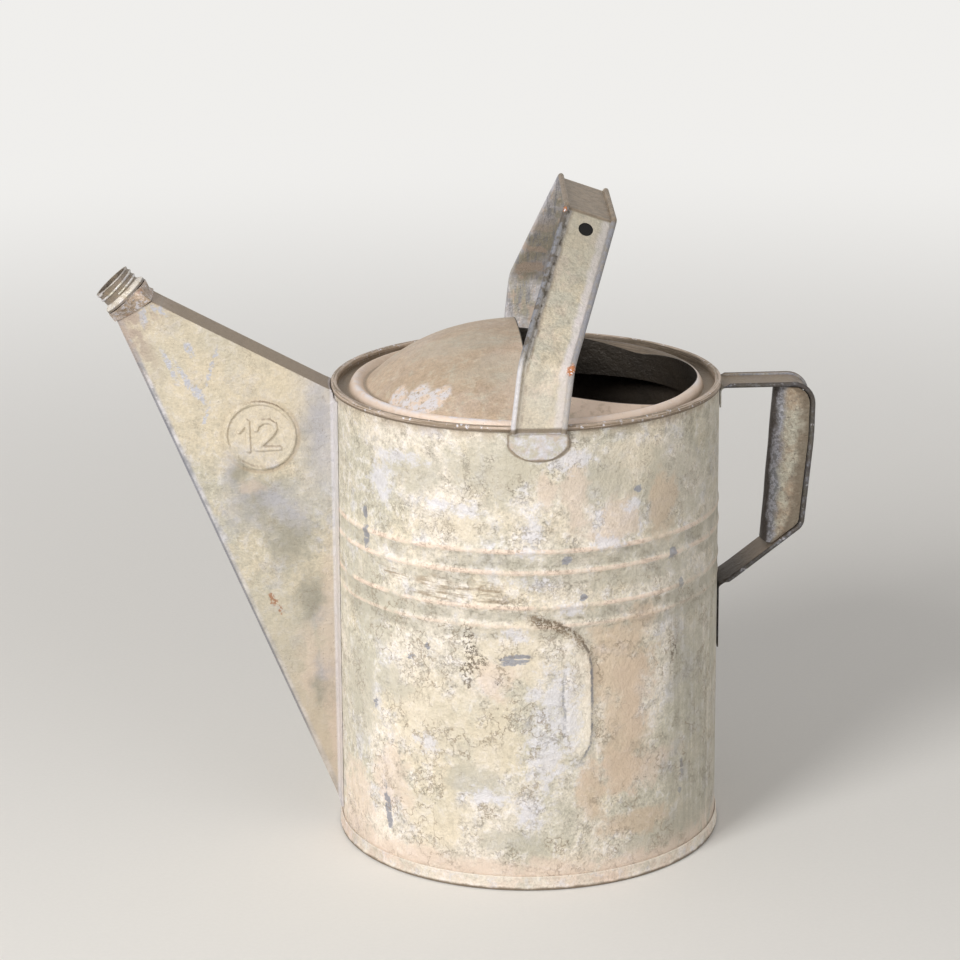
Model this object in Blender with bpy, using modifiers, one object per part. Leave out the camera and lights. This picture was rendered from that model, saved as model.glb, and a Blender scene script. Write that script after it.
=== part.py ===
"""Galvanised watering can: a sheet-metal cylinder with a wedge spout, a half-domed hood and two strap handles.

Metres, +Z up. The spout points to -X, the back handle to +X. The origin is on the standing surface,
under the middle of the can's overall length, and the body's axis stands at X = AXIS_X.
"""

import math

import bmesh
import bpy
from mathutils import Matrix, Vector

# Sheet and clearances
SHEET = 0.0009
GAP = 0.0003
SEGMENTS = 48

# Body: a straight cylinder with two pairs of pressed beads
BODY_RADIUS = 0.1175
RIM_HEIGHT = 0.2872
WALL_FOOT = 0.0013
BEAD_DROPS = (0.0753, 0.0881, 0.1094, 0.1211)
BEAD_HALF_WIDTH = 0.0033
BEAD_RISE = 0.0013

# Foot: the hoop outside the wall, folded in under it, and the bottom set up inside
HOOP_HEIGHT = 0.0088
HOOP_FOLD = 0.0050
BOTTOM_RISE = 0.0080
BOTTOM_SKIRT = 0.0060

# Hood, measured from the rim downwards and inwards
RIM_WIDTH = 0.0038
RIM_SKIRT = 0.0035
RIM_FILLET = 0.0005
CHANNEL_DEPTH = 0.0055
CHANNEL_WIDTH = 0.0068
RING_WIDTH = 0.0094
RING_RISE = 0.0058
GROOVE_DEPTH = 0.0032
GROOVE_WIDTH = 0.0012
DOME_RISE = 0.0332
DOME_FULLNESS = 2.8
DOME_SHARES = (0.0, 0.25, 0.45, 0.62, 0.76, 0.87, 0.95, 1.0)
MOUTH_RADIUS = 0.0820
MOUTH_TO_CHANNEL = 0.0041
DOME_EDGE_X = -0.0040
MOUTH_FLANGE = 0.0050
MOUTH_FLANGE_SHEET = 0.0008

# Spout: a folded wedge whose top face and lower seam both run straight to the tip
SPOUT_TOP_WIDTH = 0.0300
SPOUT_SEAM_WIDTH = 0.0042
SPOUT_TOP_SPANS = 5
SPOUT_TOP_DROP = 0.0024
SPOUT_LENGTH = 0.1065
SPOUT_RISE = 0.0543
SPOUT_TIP_RUN = 0.0217
SPOUT_TIP_FALL = 0.0141
SPOUT_SEAM_FOOT = 0.0147
SPOUT_HEEL = 0.0005
SPOUT_FLANGE = 0.0110
SPOUT_FLANGE_DROP = 0.0072
WATER_HOLES = 8
WATER_HOLE_FOOT = 0.0400
WATER_HOLE_DROP = 0.0372
WATER_HOLE_SHARE = 0.55

# Collar: a threaded tube on the slanting spout axis
COLLAR_ANGLE = math.radians(47.9)
COLLAR_STEP_OUT = 0.0157
COLLAR_STEP_UP = 0.0008
COLLAR_LENGTH = 0.0127
COLLAR_RADIUS = 0.0119
COLLAR_WALL = 0.0014
LIP_RISE = 0.0004
THREAD_RISE = 0.0009
FLANGE_WIDTH = 0.00285
FLANGE_THICK = 0.0016
FLANGE_CONE = 0.0022
THREAD_STARTS = (0.0053, 0.0087)
THREAD_WIDTH = 0.0022
NECK_SETBACK = 0.0005

# Half the number of strips across the flat of a strap
STRAP_SPANS = 3

# Carrying strap: a loop over the hood that leans towards the back handle
BAIL_WIDTH = 0.0325
BAIL_SHEET = 0.0010
BAIL_ROLL = 0.0017
BAIL_FOOT_X = 0.0040
BAIL_KINK_X = 0.0086
BAIL_KINK_RISE = 0.0343
BAIL_KINK_TILT = math.radians(5.0)
BAIL_TOP_X = 0.0368
BAIL_TOP_RISE = 0.1084
BAIL_TOP_TILT = math.radians(19.3)
BAIL_GRIP_LENGTH = 0.0940
BAIL_KINK_RADIUS = 0.0120
BAIL_FOLD_RADIUS = 0.0045
BAIL_YAW = math.radians(-2.6)
BAIL_STEP = 0.0008
BAIL_TAB_WIDTH = 0.0355
BAIL_TAB_SIDE_DROP = 0.0120
BAIL_TAB_FOOT_DROP = 0.0208
BAIL_HOLE_RADIUS = 0.0043
BAIL_HOLE_DROP = 0.0110

# Back handle
HANDLE_WIDTH = 0.0300
HANDLE_SHEET = 0.0010
HANDLE_ROLL = 0.0014
HANDLE_ARM_DROP = 0.0069
HANDLE_OUT = 0.0562
HANDLE_CORNER_RADIUS = 0.0115
HANDLE_BOW_INSET = 0.0006
HANDLE_BOW_DROP = 0.0323
HANDLE_BOW_RADIUS = 0.1500
HANDLE_KNEE_INSET = 0.0058
HANDLE_KNEE_DROP = 0.0881
HANDLE_KNEE_RADIUS = 0.0070
HANDLE_FOOT_DROP = 0.1265
HANDLE_UPPER_TAB_DROP = 0.0123
HANDLE_LOWER_TAB_DROP = 0.1663
HANDLE_BEND_RADIUS = 0.0030

# Grip sheath: a half-round trough that opens on the handle strap
SHEATH_WIDTH = 0.0260
SHEATH_SHEET = 0.0008
SHEATH_DEPTH = 0.0221
SHEATH_FOOT_DEPTH = 0.0288
SHEATH_TOP_DROP = 0.0015
SHEATH_FOOT_DROP = 0.0998
SHEATH_ROWS = 10
SHEATH_COLUMNS = 12

# The overall length fixes where the body's axis stands over the origin
TIP_EXTREME = (
    BODY_RADIUS
    + SPOUT_LENGTH
    + COLLAR_STEP_OUT
    + COLLAR_LENGTH * math.cos(COLLAR_ANGLE)
    + (COLLAR_RADIUS + LIP_RISE) * math.sin(COLLAR_ANGLE)
)
HANDLE_EXTREME = BODY_RADIUS + HANDLE_OUT - HANDLE_SHEET / 2 + 2 * HANDLE_ROLL
AXIS_X = (TIP_EXTREME - HANDLE_EXTREME) / 2
AXIS = Vector((AXIS_X, 0.0, 0.0))

COLOURS = {
    "zinc_wall": ((0.52, 0.49, 0.40), 0.55, 0.55),
    "zinc_hood": ((0.40, 0.33, 0.26), 0.50, 0.50),
    "zinc_spout": ((0.45, 0.43, 0.34), 0.55, 0.55),
    "zinc_bright": ((0.62, 0.60, 0.54), 0.80, 0.35),
    "zinc_strap": ((0.42, 0.40, 0.32), 0.60, 0.50),
    "zinc_dark": ((0.18, 0.18, 0.15), 0.60, 0.55),
}


def clear_scene():
    """Empties the scene of its objects."""
    for obj in list(bpy.data.objects):
        bpy.data.objects.remove(obj, do_unlink=True)


def make_collection(name):
    """Links a new collection to the scene."""
    collection = bpy.data.collections.new(name)
    bpy.context.scene.collection.children.link(collection)
    return collection


def make_material(name):
    """A Principled BSDF with the piece's colour, metallic value and roughness."""
    colour, metallic, roughness = COLOURS[name]
    material = bpy.data.materials.get(name) or bpy.data.materials.new(name)
    material.use_nodes = True
    shader = material.node_tree.nodes["Principled BSDF"]
    shader.inputs["Base Color"].default_value = (*colour, 1.0)
    shader.inputs["Metallic"].default_value = metallic
    shader.inputs["Roughness"].default_value = roughness
    return material


def add_object(name, bm, collection, material=None):
    """Turns a bmesh into an object that stands on the body's axis."""
    mesh = bpy.data.meshes.new(name)
    bm.to_mesh(mesh)
    bm.free()
    obj = bpy.data.objects.new(name, mesh)
    obj.location = AXIS
    collection.objects.link(obj)
    if material:
        mesh.materials.append(make_material(material))
        mesh.shade_smooth()
        mesh.set_sharp_from_angle(angle=math.radians(35))
    else:
        obj.hide_render = True
        obj.display_type = "WIRE"
    return obj


def screw(obj, steps=SEGMENTS):
    """Turns a profile in the XZ plane about Z."""
    modifier = obj.modifiers.new("Turn", "SCREW")
    modifier.axis = "Z"
    modifier.steps = steps
    modifier.render_steps = steps
    modifier.use_merge_vertices = True
    modifier.merge_threshold = 0.00001
    return modifier


def solidify(obj, thickness):
    """Gives an open surface its sheet thickness on the inner side."""
    modifier = obj.modifiers.new("Sheet", "SOLIDIFY")
    modifier.thickness = thickness
    modifier.offset = -1.0
    modifier.use_even_offset = True
    modifier.use_quality_normals = True
    return modifier


def boolean(obj, other, operation):
    """Cuts, joins or trims with the exact solver."""
    modifier = obj.modifiers.new(operation.title(), "BOOLEAN")
    modifier.operation = operation
    modifier.object = other
    modifier.solver = "EXACT"
    return modifier


def profile_mesh(points, closed=False):
    """Edges through (radius, height) points, in the order that the Screw modifier turns them."""
    bm = bmesh.new()
    verts = [bm.verts.new((radius, 0.0, height)) for radius, height in points]
    for first, second in zip(verts, verts[1:]):
        bm.edges.new((first, second))
    if closed:
        bm.edges.new((verts[-1], verts[0]))
    return bm


def arch(start, end, rise, steps):
    """Points of a rounded bead between two (radius, height) points, bulging to the left of the walk."""
    (r0, z0), (r1, z1) = start, end
    length = math.hypot(r1 - r0, z1 - z0)
    across = (-(z1 - z0) / length, (r1 - r0) / length)
    points = []
    for step in range(steps + 1):
        share = step / steps
        swell = rise * math.sin(math.pi * share)
        points.append(
            (
                r0 + (r1 - r0) * share + across[0] * swell,
                z0 + (z1 - z0) * share + across[1] * swell,
            )
        )
    return points


def loft(rings, closed=True, capped=True):
    """Skins a list of rings that all have the same number of points."""
    bm = bmesh.new()
    rows = [[bm.verts.new(point) for point in ring] for ring in rings]
    count = len(rings[0])
    last = count if closed else count - 1
    for row, following in zip(rows, rows[1:]):
        for index in range(last):
            after = (index + 1) % count
            bm.faces.new((row[index], row[after], following[after], following[index]))
    if capped:
        bm.faces.new(list(reversed(rows[0])))
        bm.faces.new(rows[-1])
    if closed:
        bmesh.ops.recalc_face_normals(bm, faces=bm.faces)
    return bm


def rounded_path(corners, radii, steps):
    """Walks through corner points, replacing each inner corner by an arc of its radius."""
    path = [corners[0]]
    for index in range(1, len(corners) - 1):
        before, corner, after = corners[index - 1], corners[index], corners[index + 1]
        back = (before - corner).normalized()
        ahead = (after - corner).normalized()
        half = back.angle(ahead) / 2
        run = radii[index] / math.tan(half)
        run = min(run, (before - corner).length * 0.48, (after - corner).length * 0.48)
        centre = corner + (back + ahead).normalized() * (run / math.cos(half))
        first = corner + back * run - centre
        last = corner + ahead * run - centre
        for step in range(steps + 1):
            spoke = first.normalized().slerp(last.normalized(), step / steps)
            path.append(centre + spoke * first.length)
    path.append(corners[-1])
    return path


def tangents(path):
    """The walking direction at each point of a path."""
    result = []
    for index, point in enumerate(path):
        before = path[max(index - 1, 0)]
        after = path[min(index + 1, len(path) - 1)]
        back = (point - before).normalized() if index else Vector()
        ahead = (after - point).normalized() if index < len(path) - 1 else Vector()
        result.append((back + ahead).normalized())
    return result


def strap_section(width, sheet, roll):
    """Outline of a strap whose two edges are rolled up into round hems, as (across, outward) pairs."""
    flat = width / 2 - 2 * roll
    across = [flat * step / STRAP_SPANS for step in range(-STRAP_SPANS, STRAP_SPANS + 1)]
    turns = [-math.pi / 2 + math.pi * step / 5 for step in range(6)]
    hem = [
        (flat + roll + roll * math.cos(turn), -sheet / 2 + roll + roll * math.sin(turn))
        for turn in turns
    ]
    hem.append((flat + 0.3 * roll, sheet / 2 + 0.3 * roll))
    outline = [(place, -sheet / 2) for place in across]
    outline += hem
    outline += [(place, sheet / 2) for place in reversed(across)]
    outline += [(-place, out) for place, out in reversed(hem)]
    return outline


def hug(point, radius):
    """Pulls a point of a flat tab back on to a cylinder about the body's axis."""
    flat = Vector((point.x, point.y, 0.0))
    return Vector((*(flat.normalized() * radius).xy, point.z))


def wall_radius():
    """The outer radius of the wall with the clearance that a soldered piece keeps."""
    return BODY_RADIUS + GAP


def rim_radius():
    """The outer radius of the hood's folded rim."""
    return wall_radius() + SHEET


def skirt_foot():
    """The height at which the hood's folded rim ends on the wall."""
    return RIM_HEIGHT - RIM_SKIRT


def bead_rows(crest_steps):
    """Heights through the beads of the wall, from the highest down, and how far the wall swells there."""
    rows = []
    for drop in BEAD_DROPS:
        for step in range(crest_steps + 1):
            share = step / crest_steps
            height = RIM_HEIGHT - drop + BEAD_HALF_WIDTH * (1 - 2 * share)
            rows.append((height, BEAD_RISE * math.sin(math.pi * share)))
    return rows


def build_body_shell(parts, cutters):
    """The rolled wall, with its beads and the water holes behind the spout."""
    points = [(BODY_RADIUS, RIM_HEIGHT - SHEET - GAP)]
    points += [(BODY_RADIUS + swell, height) for height, swell in bead_rows(4)]
    points.append((BODY_RADIUS, WALL_FOOT))
    body = add_object("body_shell", profile_mesh(points), parts, "zinc_wall")
    screw(body)
    solidify(body, SHEET)
    spacing = (RIM_HEIGHT - WATER_HOLE_DROP - WATER_HOLE_FOOT) / (WATER_HOLES - 1)
    drills = bmesh.new()
    for index in range(WATER_HOLES):
        height = WATER_HOLE_FOOT + spacing * index
        radius = WATER_HOLE_SHARE * spout_half_width(height)
        place = Matrix.Translation((-BODY_RADIUS, 0.0, height)) @ Matrix.Rotation(math.pi / 2, 4, "Y")
        bmesh.ops.create_cone(
            drills, cap_ends=True, segments=12, radius1=radius, radius2=radius, depth=0.02, matrix=place
        )
    boolean(body, add_object("water_hole_drills", drills, cutters), "DIFFERENCE")
    return body


def build_bottom_plate(parts):
    """The bottom disc, with its edge turned down inside the wall."""
    edge = BODY_RADIUS - SHEET - GAP
    points = [
        (0.0, BOTTOM_RISE),
        (edge - 0.002, BOTTOM_RISE),
        (edge - 0.0006, BOTTOM_RISE - 0.0006),
        (edge, BOTTOM_RISE - 0.002),
        (edge, BOTTOM_RISE - BOTTOM_SKIRT),
    ]
    plate = add_object("bottom_plate", profile_mesh(points), parts, "zinc_dark")
    screw(plate)
    solidify(plate, SHEET)
    return plate


def build_foot_hoop(parts):
    """The hoop round the foot, folded in under the wall: the flat ring that the can stands on."""
    outside = wall_radius() + SHEET
    points = [
        (outside - 0.0003, HOOP_HEIGHT),
        (outside, HOOP_HEIGHT - 0.0004),
        (outside, 0.0030),
        (outside + 0.0006, 0.0018),
        (outside + 0.0004, 0.0005),
        (outside - 0.0004, 0.0),
        (outside - HOOP_FOLD, 0.0),
        (outside - HOOP_FOLD, 0.0009),
        (outside - SHEET - 0.0003, 0.0009),
        (outside - SHEET, 0.0013),
        (outside - SHEET, HOOP_HEIGHT),
    ]
    hoop = add_object("foot_hoop", profile_mesh(points, closed=True), parts, "zinc_wall")
    screw(hoop)
    return hoop


def channel_radius():
    """The inner radius of the channel inside the rim."""
    return rim_radius() - RIM_WIDTH - CHANNEL_WIDTH


def dome_radius():
    """The radius at which the dome meets the groove inside the ring moulding."""
    return channel_radius() - RING_WIDTH - GROOVE_WIDTH


def mouth_offset():
    """How far the filling mouth's circle stands behind the body's axis."""
    return channel_radius() - MOUTH_TO_CHANNEL - MOUTH_RADIUS


def dome_height(radius):
    """Height of the hood's dome at a radius, fuller at the shoulder than a ball."""
    groove = RIM_HEIGHT - GROOVE_DEPTH
    return groove + DOME_RISE * (1 - (radius / dome_radius()) ** DOME_FULLNESS)


def hood_profile():
    """The hood's upper surface from the top of the dome to the foot of the folded rim."""
    rim_out = rim_radius()
    rim_in = rim_out - RIM_WIDTH
    channel_out = rim_in - RIM_FILLET
    channel_in = channel_radius()
    floor = RIM_HEIGHT - CHANNEL_DEPTH
    groove = RIM_HEIGHT - GROOVE_DEPTH
    points = [(dome_radius() * share, dome_height(dome_radius() * share)) for share in DOME_SHARES]
    ring_in = channel_in - RING_WIDTH
    points += arch((ring_in, groove), (channel_in, floor), RING_RISE - GROOVE_DEPTH / 2, 5)
    points += [
        (channel_out, floor),
        (rim_in, floor + RIM_FILLET),
        (rim_in, RIM_HEIGHT - RIM_FILLET),
        (rim_in + RIM_FILLET, RIM_HEIGHT),
        (rim_out - RIM_FILLET, RIM_HEIGHT),
        (rim_out, RIM_HEIGHT - RIM_FILLET),
        (rim_out, skirt_foot()),
    ]
    return points


def mouth_slug(radius, low, high, straight_edge=True):
    """A slug with the filling mouth's outline: a circle, cut straight along the dome's free edge."""
    bm = bmesh.new()
    place = Matrix.Translation((mouth_offset(), 0.0, (low + high) / 2))
    bmesh.ops.create_cone(
        bm, cap_ends=True, segments=SEGMENTS, radius1=radius, radius2=radius, depth=high - low, matrix=place
    )
    if straight_edge:
        geometry = bm.verts[:] + bm.edges[:] + bm.faces[:]
        cut = bmesh.ops.bisect_plane(
            bm, geom=geometry, plane_co=(DOME_EDGE_X, 0, 0), plane_no=(-1, 0, 0), clear_outer=True
        )
        rim = [item for item in cut["geom_cut"] if isinstance(item, bmesh.types.BMEdge)]
        bmesh.ops.contextual_create(bm, geom=rim)
        bmesh.ops.recalc_face_normals(bm, faces=bm.faces)
    return bm


def build_hood(parts, cutters):
    """The hood pressing: its dome is cut away over the filling mouth, whose curved edge is turned down."""
    low = RIM_HEIGHT - 0.02
    high = RIM_HEIGHT + DOME_RISE + 0.02
    sink = SHEET / 2
    under_points = [
        (radius, height - sink) for radius, height in hood_profile() if radius <= channel_radius()
    ]
    under = add_object("flange_band", profile_mesh(under_points), cutters)
    screw(under)
    solidify(under, MOUTH_FLANGE)
    collar = mouth_slug(MOUTH_RADIUS + MOUTH_FLANGE_SHEET, low, high)
    flange = add_object("mouth_flange", collar, cutters)
    bore = mouth_slug(MOUTH_RADIUS, low - 0.01, high + 0.01, straight_edge=False)
    boolean(flange, add_object("mouth_bore", bore, cutters), "DIFFERENCE")
    boolean(flange, under, "INTERSECT")
    slug = add_object("mouth_slug", mouth_slug(MOUTH_RADIUS, low, high), cutters)
    hood = add_object("hood", profile_mesh(hood_profile()), parts, "zinc_hood")
    screw(hood)
    solidify(hood, SHEET)
    boolean(hood, slug, "DIFFERENCE")
    boolean(hood, flange, "UNION")
    return hood


def spout_line(share):
    """Middle of the top face and of the lower seam, a share of the way from the body to the tip."""
    rim = rim_radius() + GAP
    tip = Vector((-BODY_RADIUS - SPOUT_LENGTH, 0, RIM_HEIGHT + SPOUT_RISE))
    top = Vector((-rim, 0, RIM_HEIGHT - SPOUT_TOP_DROP)).lerp(tip, share)
    tip_foot = tip - Vector((SPOUT_TIP_RUN, 0, SPOUT_TIP_FALL))
    seam = Vector((-wall_radius() - SHEET, 0, SPOUT_SEAM_FOOT)).lerp(tip_foot, share)
    return top, seam


def spout_half_width(height):
    """Half the wedge's width where it meets the body, at a height."""
    share = (height - SPOUT_SEAM_FOOT) / (RIM_HEIGHT - SPOUT_TOP_DROP - SPOUT_SEAM_FOOT)
    return (SPOUT_SEAM_WIDTH + (SPOUT_TOP_WIDTH - SPOUT_SEAM_WIDTH) * share) / 2


def spout_ring(share, climbs):
    """A cross-section of the wedge, from the seam up the near side, over the top and down the far side."""
    top, seam = spout_line(share)
    near = []
    for climb in climbs:
        half = (SPOUT_SEAM_WIDTH + (SPOUT_TOP_WIDTH - SPOUT_SEAM_WIDTH) * climb) / 2
        near.append(seam.lerp(top, climb) - Vector((0, half, 0)))
    across = [
        top + Vector((0, SPOUT_TOP_WIDTH * (step / SPOUT_TOP_SPANS - 0.5), 0))
        for step in range(1, SPOUT_TOP_SPANS)
    ]
    return near + across + [Vector((point.x, -point.y, point.z)) for point in reversed(near)]


def body_clearance(height):
    """The radius that the outside of the wedge's sheet keeps at a height: clear of beads and rim."""
    if height > skirt_foot() - GAP:
        return rim_radius() + 2 * GAP
    swell = SPOUT_HEEL if height < SPOUT_SEAM_FOOT + GAP else 0.0
    for drop in BEAD_DROPS:
        share = (height - RIM_HEIGHT + drop) / BEAD_HALF_WIDTH
        if abs(share) < 1.001:
            swell = GAP + BEAD_RISE * math.cos(math.pi / 2 * share)
    return wall_radius() + SHEET + swell


def build_spout_shell(parts):
    """The folded wedge, with its two flanges that follow the wall and its beads."""
    beads = [height for height, swell in reversed(bead_rows(4))]
    flange_top = RIM_HEIGHT - SPOUT_FLANGE_DROP
    heights = [SPOUT_SEAM_FOOT + (beads[0] - SPOUT_SEAM_FOOT) * step / 5 for step in range(5)]
    heights += beads
    heights += [beads[-1] + (flange_top - beads[-1]) * step / 4 for step in range(1, 5)]
    heights += [skirt_foot() - 2 * GAP, RIM_HEIGHT - SPOUT_TOP_DROP]
    run = heights[-1] - heights[0]
    climbs = [(height - heights[0]) / run for height in heights]
    root = [hug(point, body_clearance(point.z)) for point in spout_ring(0.0, climbs)]
    rings = [root] + [spout_ring(share, climbs) for share in (0.08, 0.3, 0.6, 0.85, 1.0)]
    bm = loft(rings, capped=False)
    bm.verts.ensure_lookup_table()
    rows = len(heights) - 2
    turn = SPOUT_FLANGE / BODY_RADIUS
    for row, side in ((bm.verts[:rows], 1), (bm.verts[len(root) - rows : len(root)], -1)):
        edge = [bm.verts.new(Matrix.Rotation(side * turn, 3, "Z") @ vert.co) for vert in row]
        for index in range(rows - 1):
            bm.faces.new((row[index], row[index + 1], edge[index + 1], edge[index]))
    bmesh.ops.recalc_face_normals(bm, faces=bm.faces)
    spout = add_object("spout_shell", bm, parts, "zinc_spout")
    solidify(spout, SHEET)
    return spout


def collar_frame():
    """Places +Z along the collar's axis, with its flange's lower face at the origin."""
    tilt = Matrix.Rotation(COLLAR_ANGLE - math.pi / 2, 4, "Y")
    foot = spout_line(1.0)[0] + Vector((-COLLAR_STEP_OUT, 0.0, COLLAR_STEP_UP))
    return Matrix.Translation(foot) @ tilt


def build_spout_neck(parts):
    """The sleeve from the wedge's three-cornered end to the collar's round foot."""
    climbs = [step / 6 for step in range(7)]
    top, seam = spout_line(1.0)
    along = (top - spout_line(0.9)[0]).normalized()
    start = [point + along * 2 * GAP for point in spout_ring(1.0, climbs)]
    middle = top.lerp(seam, 0.42)
    frame = collar_frame()
    axis = frame.to_3x3() @ Vector((0, 0, 1))
    down = frame.to_3x3() @ Vector((-1, 0, 0))
    centre = frame.translation - axis * 2 * GAP
    radius = COLLAR_RADIUS + FLANGE_WIDTH - NECK_SETBACK
    end = []
    for point in start:
        spread = point - middle
        turn = math.atan2(spread.y, spread.dot((seam - top).normalized()))
        end.append(centre + (down * math.cos(turn) + Vector((0, math.sin(turn), 0))) * radius)
    rings = []
    for step in range(6):
        share = step / 5
        rings.append([first.lerp(last, share) for first, last in zip(start, end)])
    neck = add_object("spout_neck", loft(rings, capped=False), parts, "zinc_spout")
    solidify(neck, SHEET)
    return neck


def build_spout_collar(parts):
    """The threaded collar, turned about its own axis and set at the tip."""
    bore = COLLAR_RADIUS - COLLAR_WALL
    lip = COLLAR_RADIUS + LIP_RISE
    crest = COLLAR_RADIUS + THREAD_RISE
    flange = COLLAR_RADIUS + FLANGE_WIDTH
    points = [
        (bore, 0.0),
        (bore, COLLAR_LENGTH),
        (lip, COLLAR_LENGTH),
        (lip, COLLAR_LENGTH - 0.0006),
        (COLLAR_RADIUS, COLLAR_LENGTH - 0.0012),
    ]
    for start in reversed(THREAD_STARTS):
        points += [
            (COLLAR_RADIUS, start + THREAD_WIDTH),
            (crest, start + THREAD_WIDTH * 0.7),
            (crest, start + THREAD_WIDTH * 0.3),
            (COLLAR_RADIUS, start),
        ]
    points += [
        (COLLAR_RADIUS, FLANGE_THICK + FLANGE_CONE),
        (flange, FLANGE_THICK),
        (flange, 0.0),
    ]
    collar = add_object("spout_collar", profile_mesh(points, closed=True), parts, "zinc_bright")
    screw(collar, 32)
    collar.matrix_world = Matrix.Translation(AXIS) @ collar_frame()
    return collar


def with_run_ins(path, step):
    """Adds a point just after the start and just before the end of each long straight run."""
    result = [path[0]]
    for before, after in zip(path, path[1:]):
        run = after - before
        if run.length > 3 * step:
            result.append(before + run.normalized() * step)
            result.append(after - run.normalized() * step)
        result.append(after)
    return result


def bail_tilt(height):
    """How far the strap's cross direction tips down to the back, at a height."""
    rise = height - RIM_HEIGHT
    if rise < BAIL_KINK_RISE:
        return BAIL_KINK_TILT * max(0.0, rise / BAIL_KINK_RISE)
    climb = (rise - BAIL_KINK_RISE) / (BAIL_TOP_RISE - BAIL_KINK_RISE)
    return BAIL_KINK_TILT + (BAIL_TOP_TILT - BAIL_KINK_TILT) * min(1.0, climb)


def bail_corners():
    """Corners of the near half of the carrying strap's middle line, from its tab up, and their radii."""
    stand_off = rim_radius() + GAP + BAIL_SHEET / 2
    low = skirt_foot() - BAIL_STEP / 2
    corners = [
        Vector((BAIL_FOOT_X, -stand_off, low)),
        Vector((BAIL_KINK_X, -stand_off, RIM_HEIGHT + BAIL_KINK_RISE)),
        Vector((BAIL_TOP_X, -BAIL_GRIP_LENGTH / 2, RIM_HEIGHT + BAIL_TOP_RISE)),
    ]
    return corners, [0.0, BAIL_KINK_RADIUS, BAIL_FOLD_RADIUS]


def bail_tab(section, side):
    """Rings of a flattened end on the wall, from its rounded foot up to the step over the rim."""
    half = BAIL_TAB_WIDTH / 2
    drop = BAIL_TAB_FOOT_DROP - BAIL_TAB_SIDE_DROP
    arc = (half * half + drop * drop) / (2 * drop)
    shares = (0.02, 0.12, 0.3, 0.55, 0.8, 1.0)
    heights = [RIM_HEIGHT - BAIL_TAB_FOOT_DROP + drop * share for share in shares]
    widths = [math.sqrt(arc**2 - (arc - drop * share) ** 2) for share in shares]
    heights.append(skirt_foot() - 2 * BAIL_STEP)
    widths.append(half)
    rings = []
    for height, width in zip(heights, widths):
        ring = []
        for across, out in section:
            out = min(max(out, -BAIL_SHEET / 2), BAIL_SHEET / 2)
            sideways = across / (BAIL_WIDTH / 2) * width
            point = Vector((BAIL_FOOT_X + sideways, side * BODY_RADIUS, height))
            ring.append(hug(point, wall_radius() + BAIL_SHEET / 2 + out))
        rings.append(ring)
    return rings


def build_bail_strap(parts, cutters):
    """The carrying strap with rolled edges; its flattened ends are soldered to the wall below the rim."""
    section = strap_section(BAIL_WIDTH, BAIL_SHEET, BAIL_ROLL)
    corners, radii = bail_corners()
    corners += [Vector((point.x, -point.y, point.z)) for point in reversed(corners)]
    radii += list(reversed(radii))
    path = rounded_path(corners, radii, 4)
    rings = bail_tab(section, -1)
    for centre, along in zip(path, tangents(path)):
        tilt = bail_tilt(centre.z)
        across = Vector((math.cos(tilt), 0.0, -math.sin(tilt)))
        outward = across.cross(along).normalized()
        rings.append([centre + across * sideways + outward * out for sideways, out in section])
    rings += list(reversed(bail_tab(section, 1)))
    bm = loft(rings)
    bmesh.ops.rotate(bm, verts=bm.verts, matrix=Matrix.Rotation(BAIL_YAW, 3, "Z"))
    bail = add_object("bail_strap", bm, parts, "zinc_strap")
    kink, top = corners[1], corners[2]
    down = (kink - top).normalized()
    across = Vector((math.cos(BAIL_TOP_TILT), 0.0, -math.sin(BAIL_TOP_TILT)))
    outward = down.cross(across).normalized()
    place = Matrix.Rotation(BAIL_YAW, 4, "Z") @ Matrix.Translation(top + down * BAIL_HOLE_DROP)
    place = place @ outward.to_track_quat("Z", "Y").to_matrix().to_4x4()
    drill = bmesh.new()
    bmesh.ops.create_cone(
        drill,
        cap_ends=True,
        segments=20,
        radius1=BAIL_HOLE_RADIUS,
        radius2=BAIL_HOLE_RADIUS,
        depth=0.012,
        matrix=place,
    )
    boolean(bail, add_object("bail_hole_drill", drill, cutters), "DIFFERENCE")
    return bail


def handle_path():
    """The back handle's middle line in the XZ plane, from the foot of its upper tab to its lower one."""
    wall = wall_radius() + HANDLE_SHEET / 2
    arm = RIM_HEIGHT - HANDLE_ARM_DROP
    corners = [
        Vector((wall, 0, arm - HANDLE_UPPER_TAB_DROP)),
        Vector((wall, 0, arm)),
        Vector((BODY_RADIUS + HANDLE_OUT, 0, arm)),
        Vector((BODY_RADIUS + HANDLE_OUT - HANDLE_BOW_INSET, 0, arm - HANDLE_BOW_DROP)),
        Vector((BODY_RADIUS + HANDLE_OUT - HANDLE_KNEE_INSET, 0, arm - HANDLE_KNEE_DROP)),
        Vector((wall, 0, arm - HANDLE_FOOT_DROP)),
        Vector((wall, 0, arm - HANDLE_LOWER_TAB_DROP)),
    ]
    radii = [
        0,
        HANDLE_BEND_RADIUS,
        HANDLE_CORNER_RADIUS,
        HANDLE_BOW_RADIUS,
        HANDLE_KNEE_RADIUS,
        HANDLE_BEND_RADIUS,
        0,
    ]
    return with_run_ins(rounded_path(corners, radii, 4), 0.003)


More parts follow.
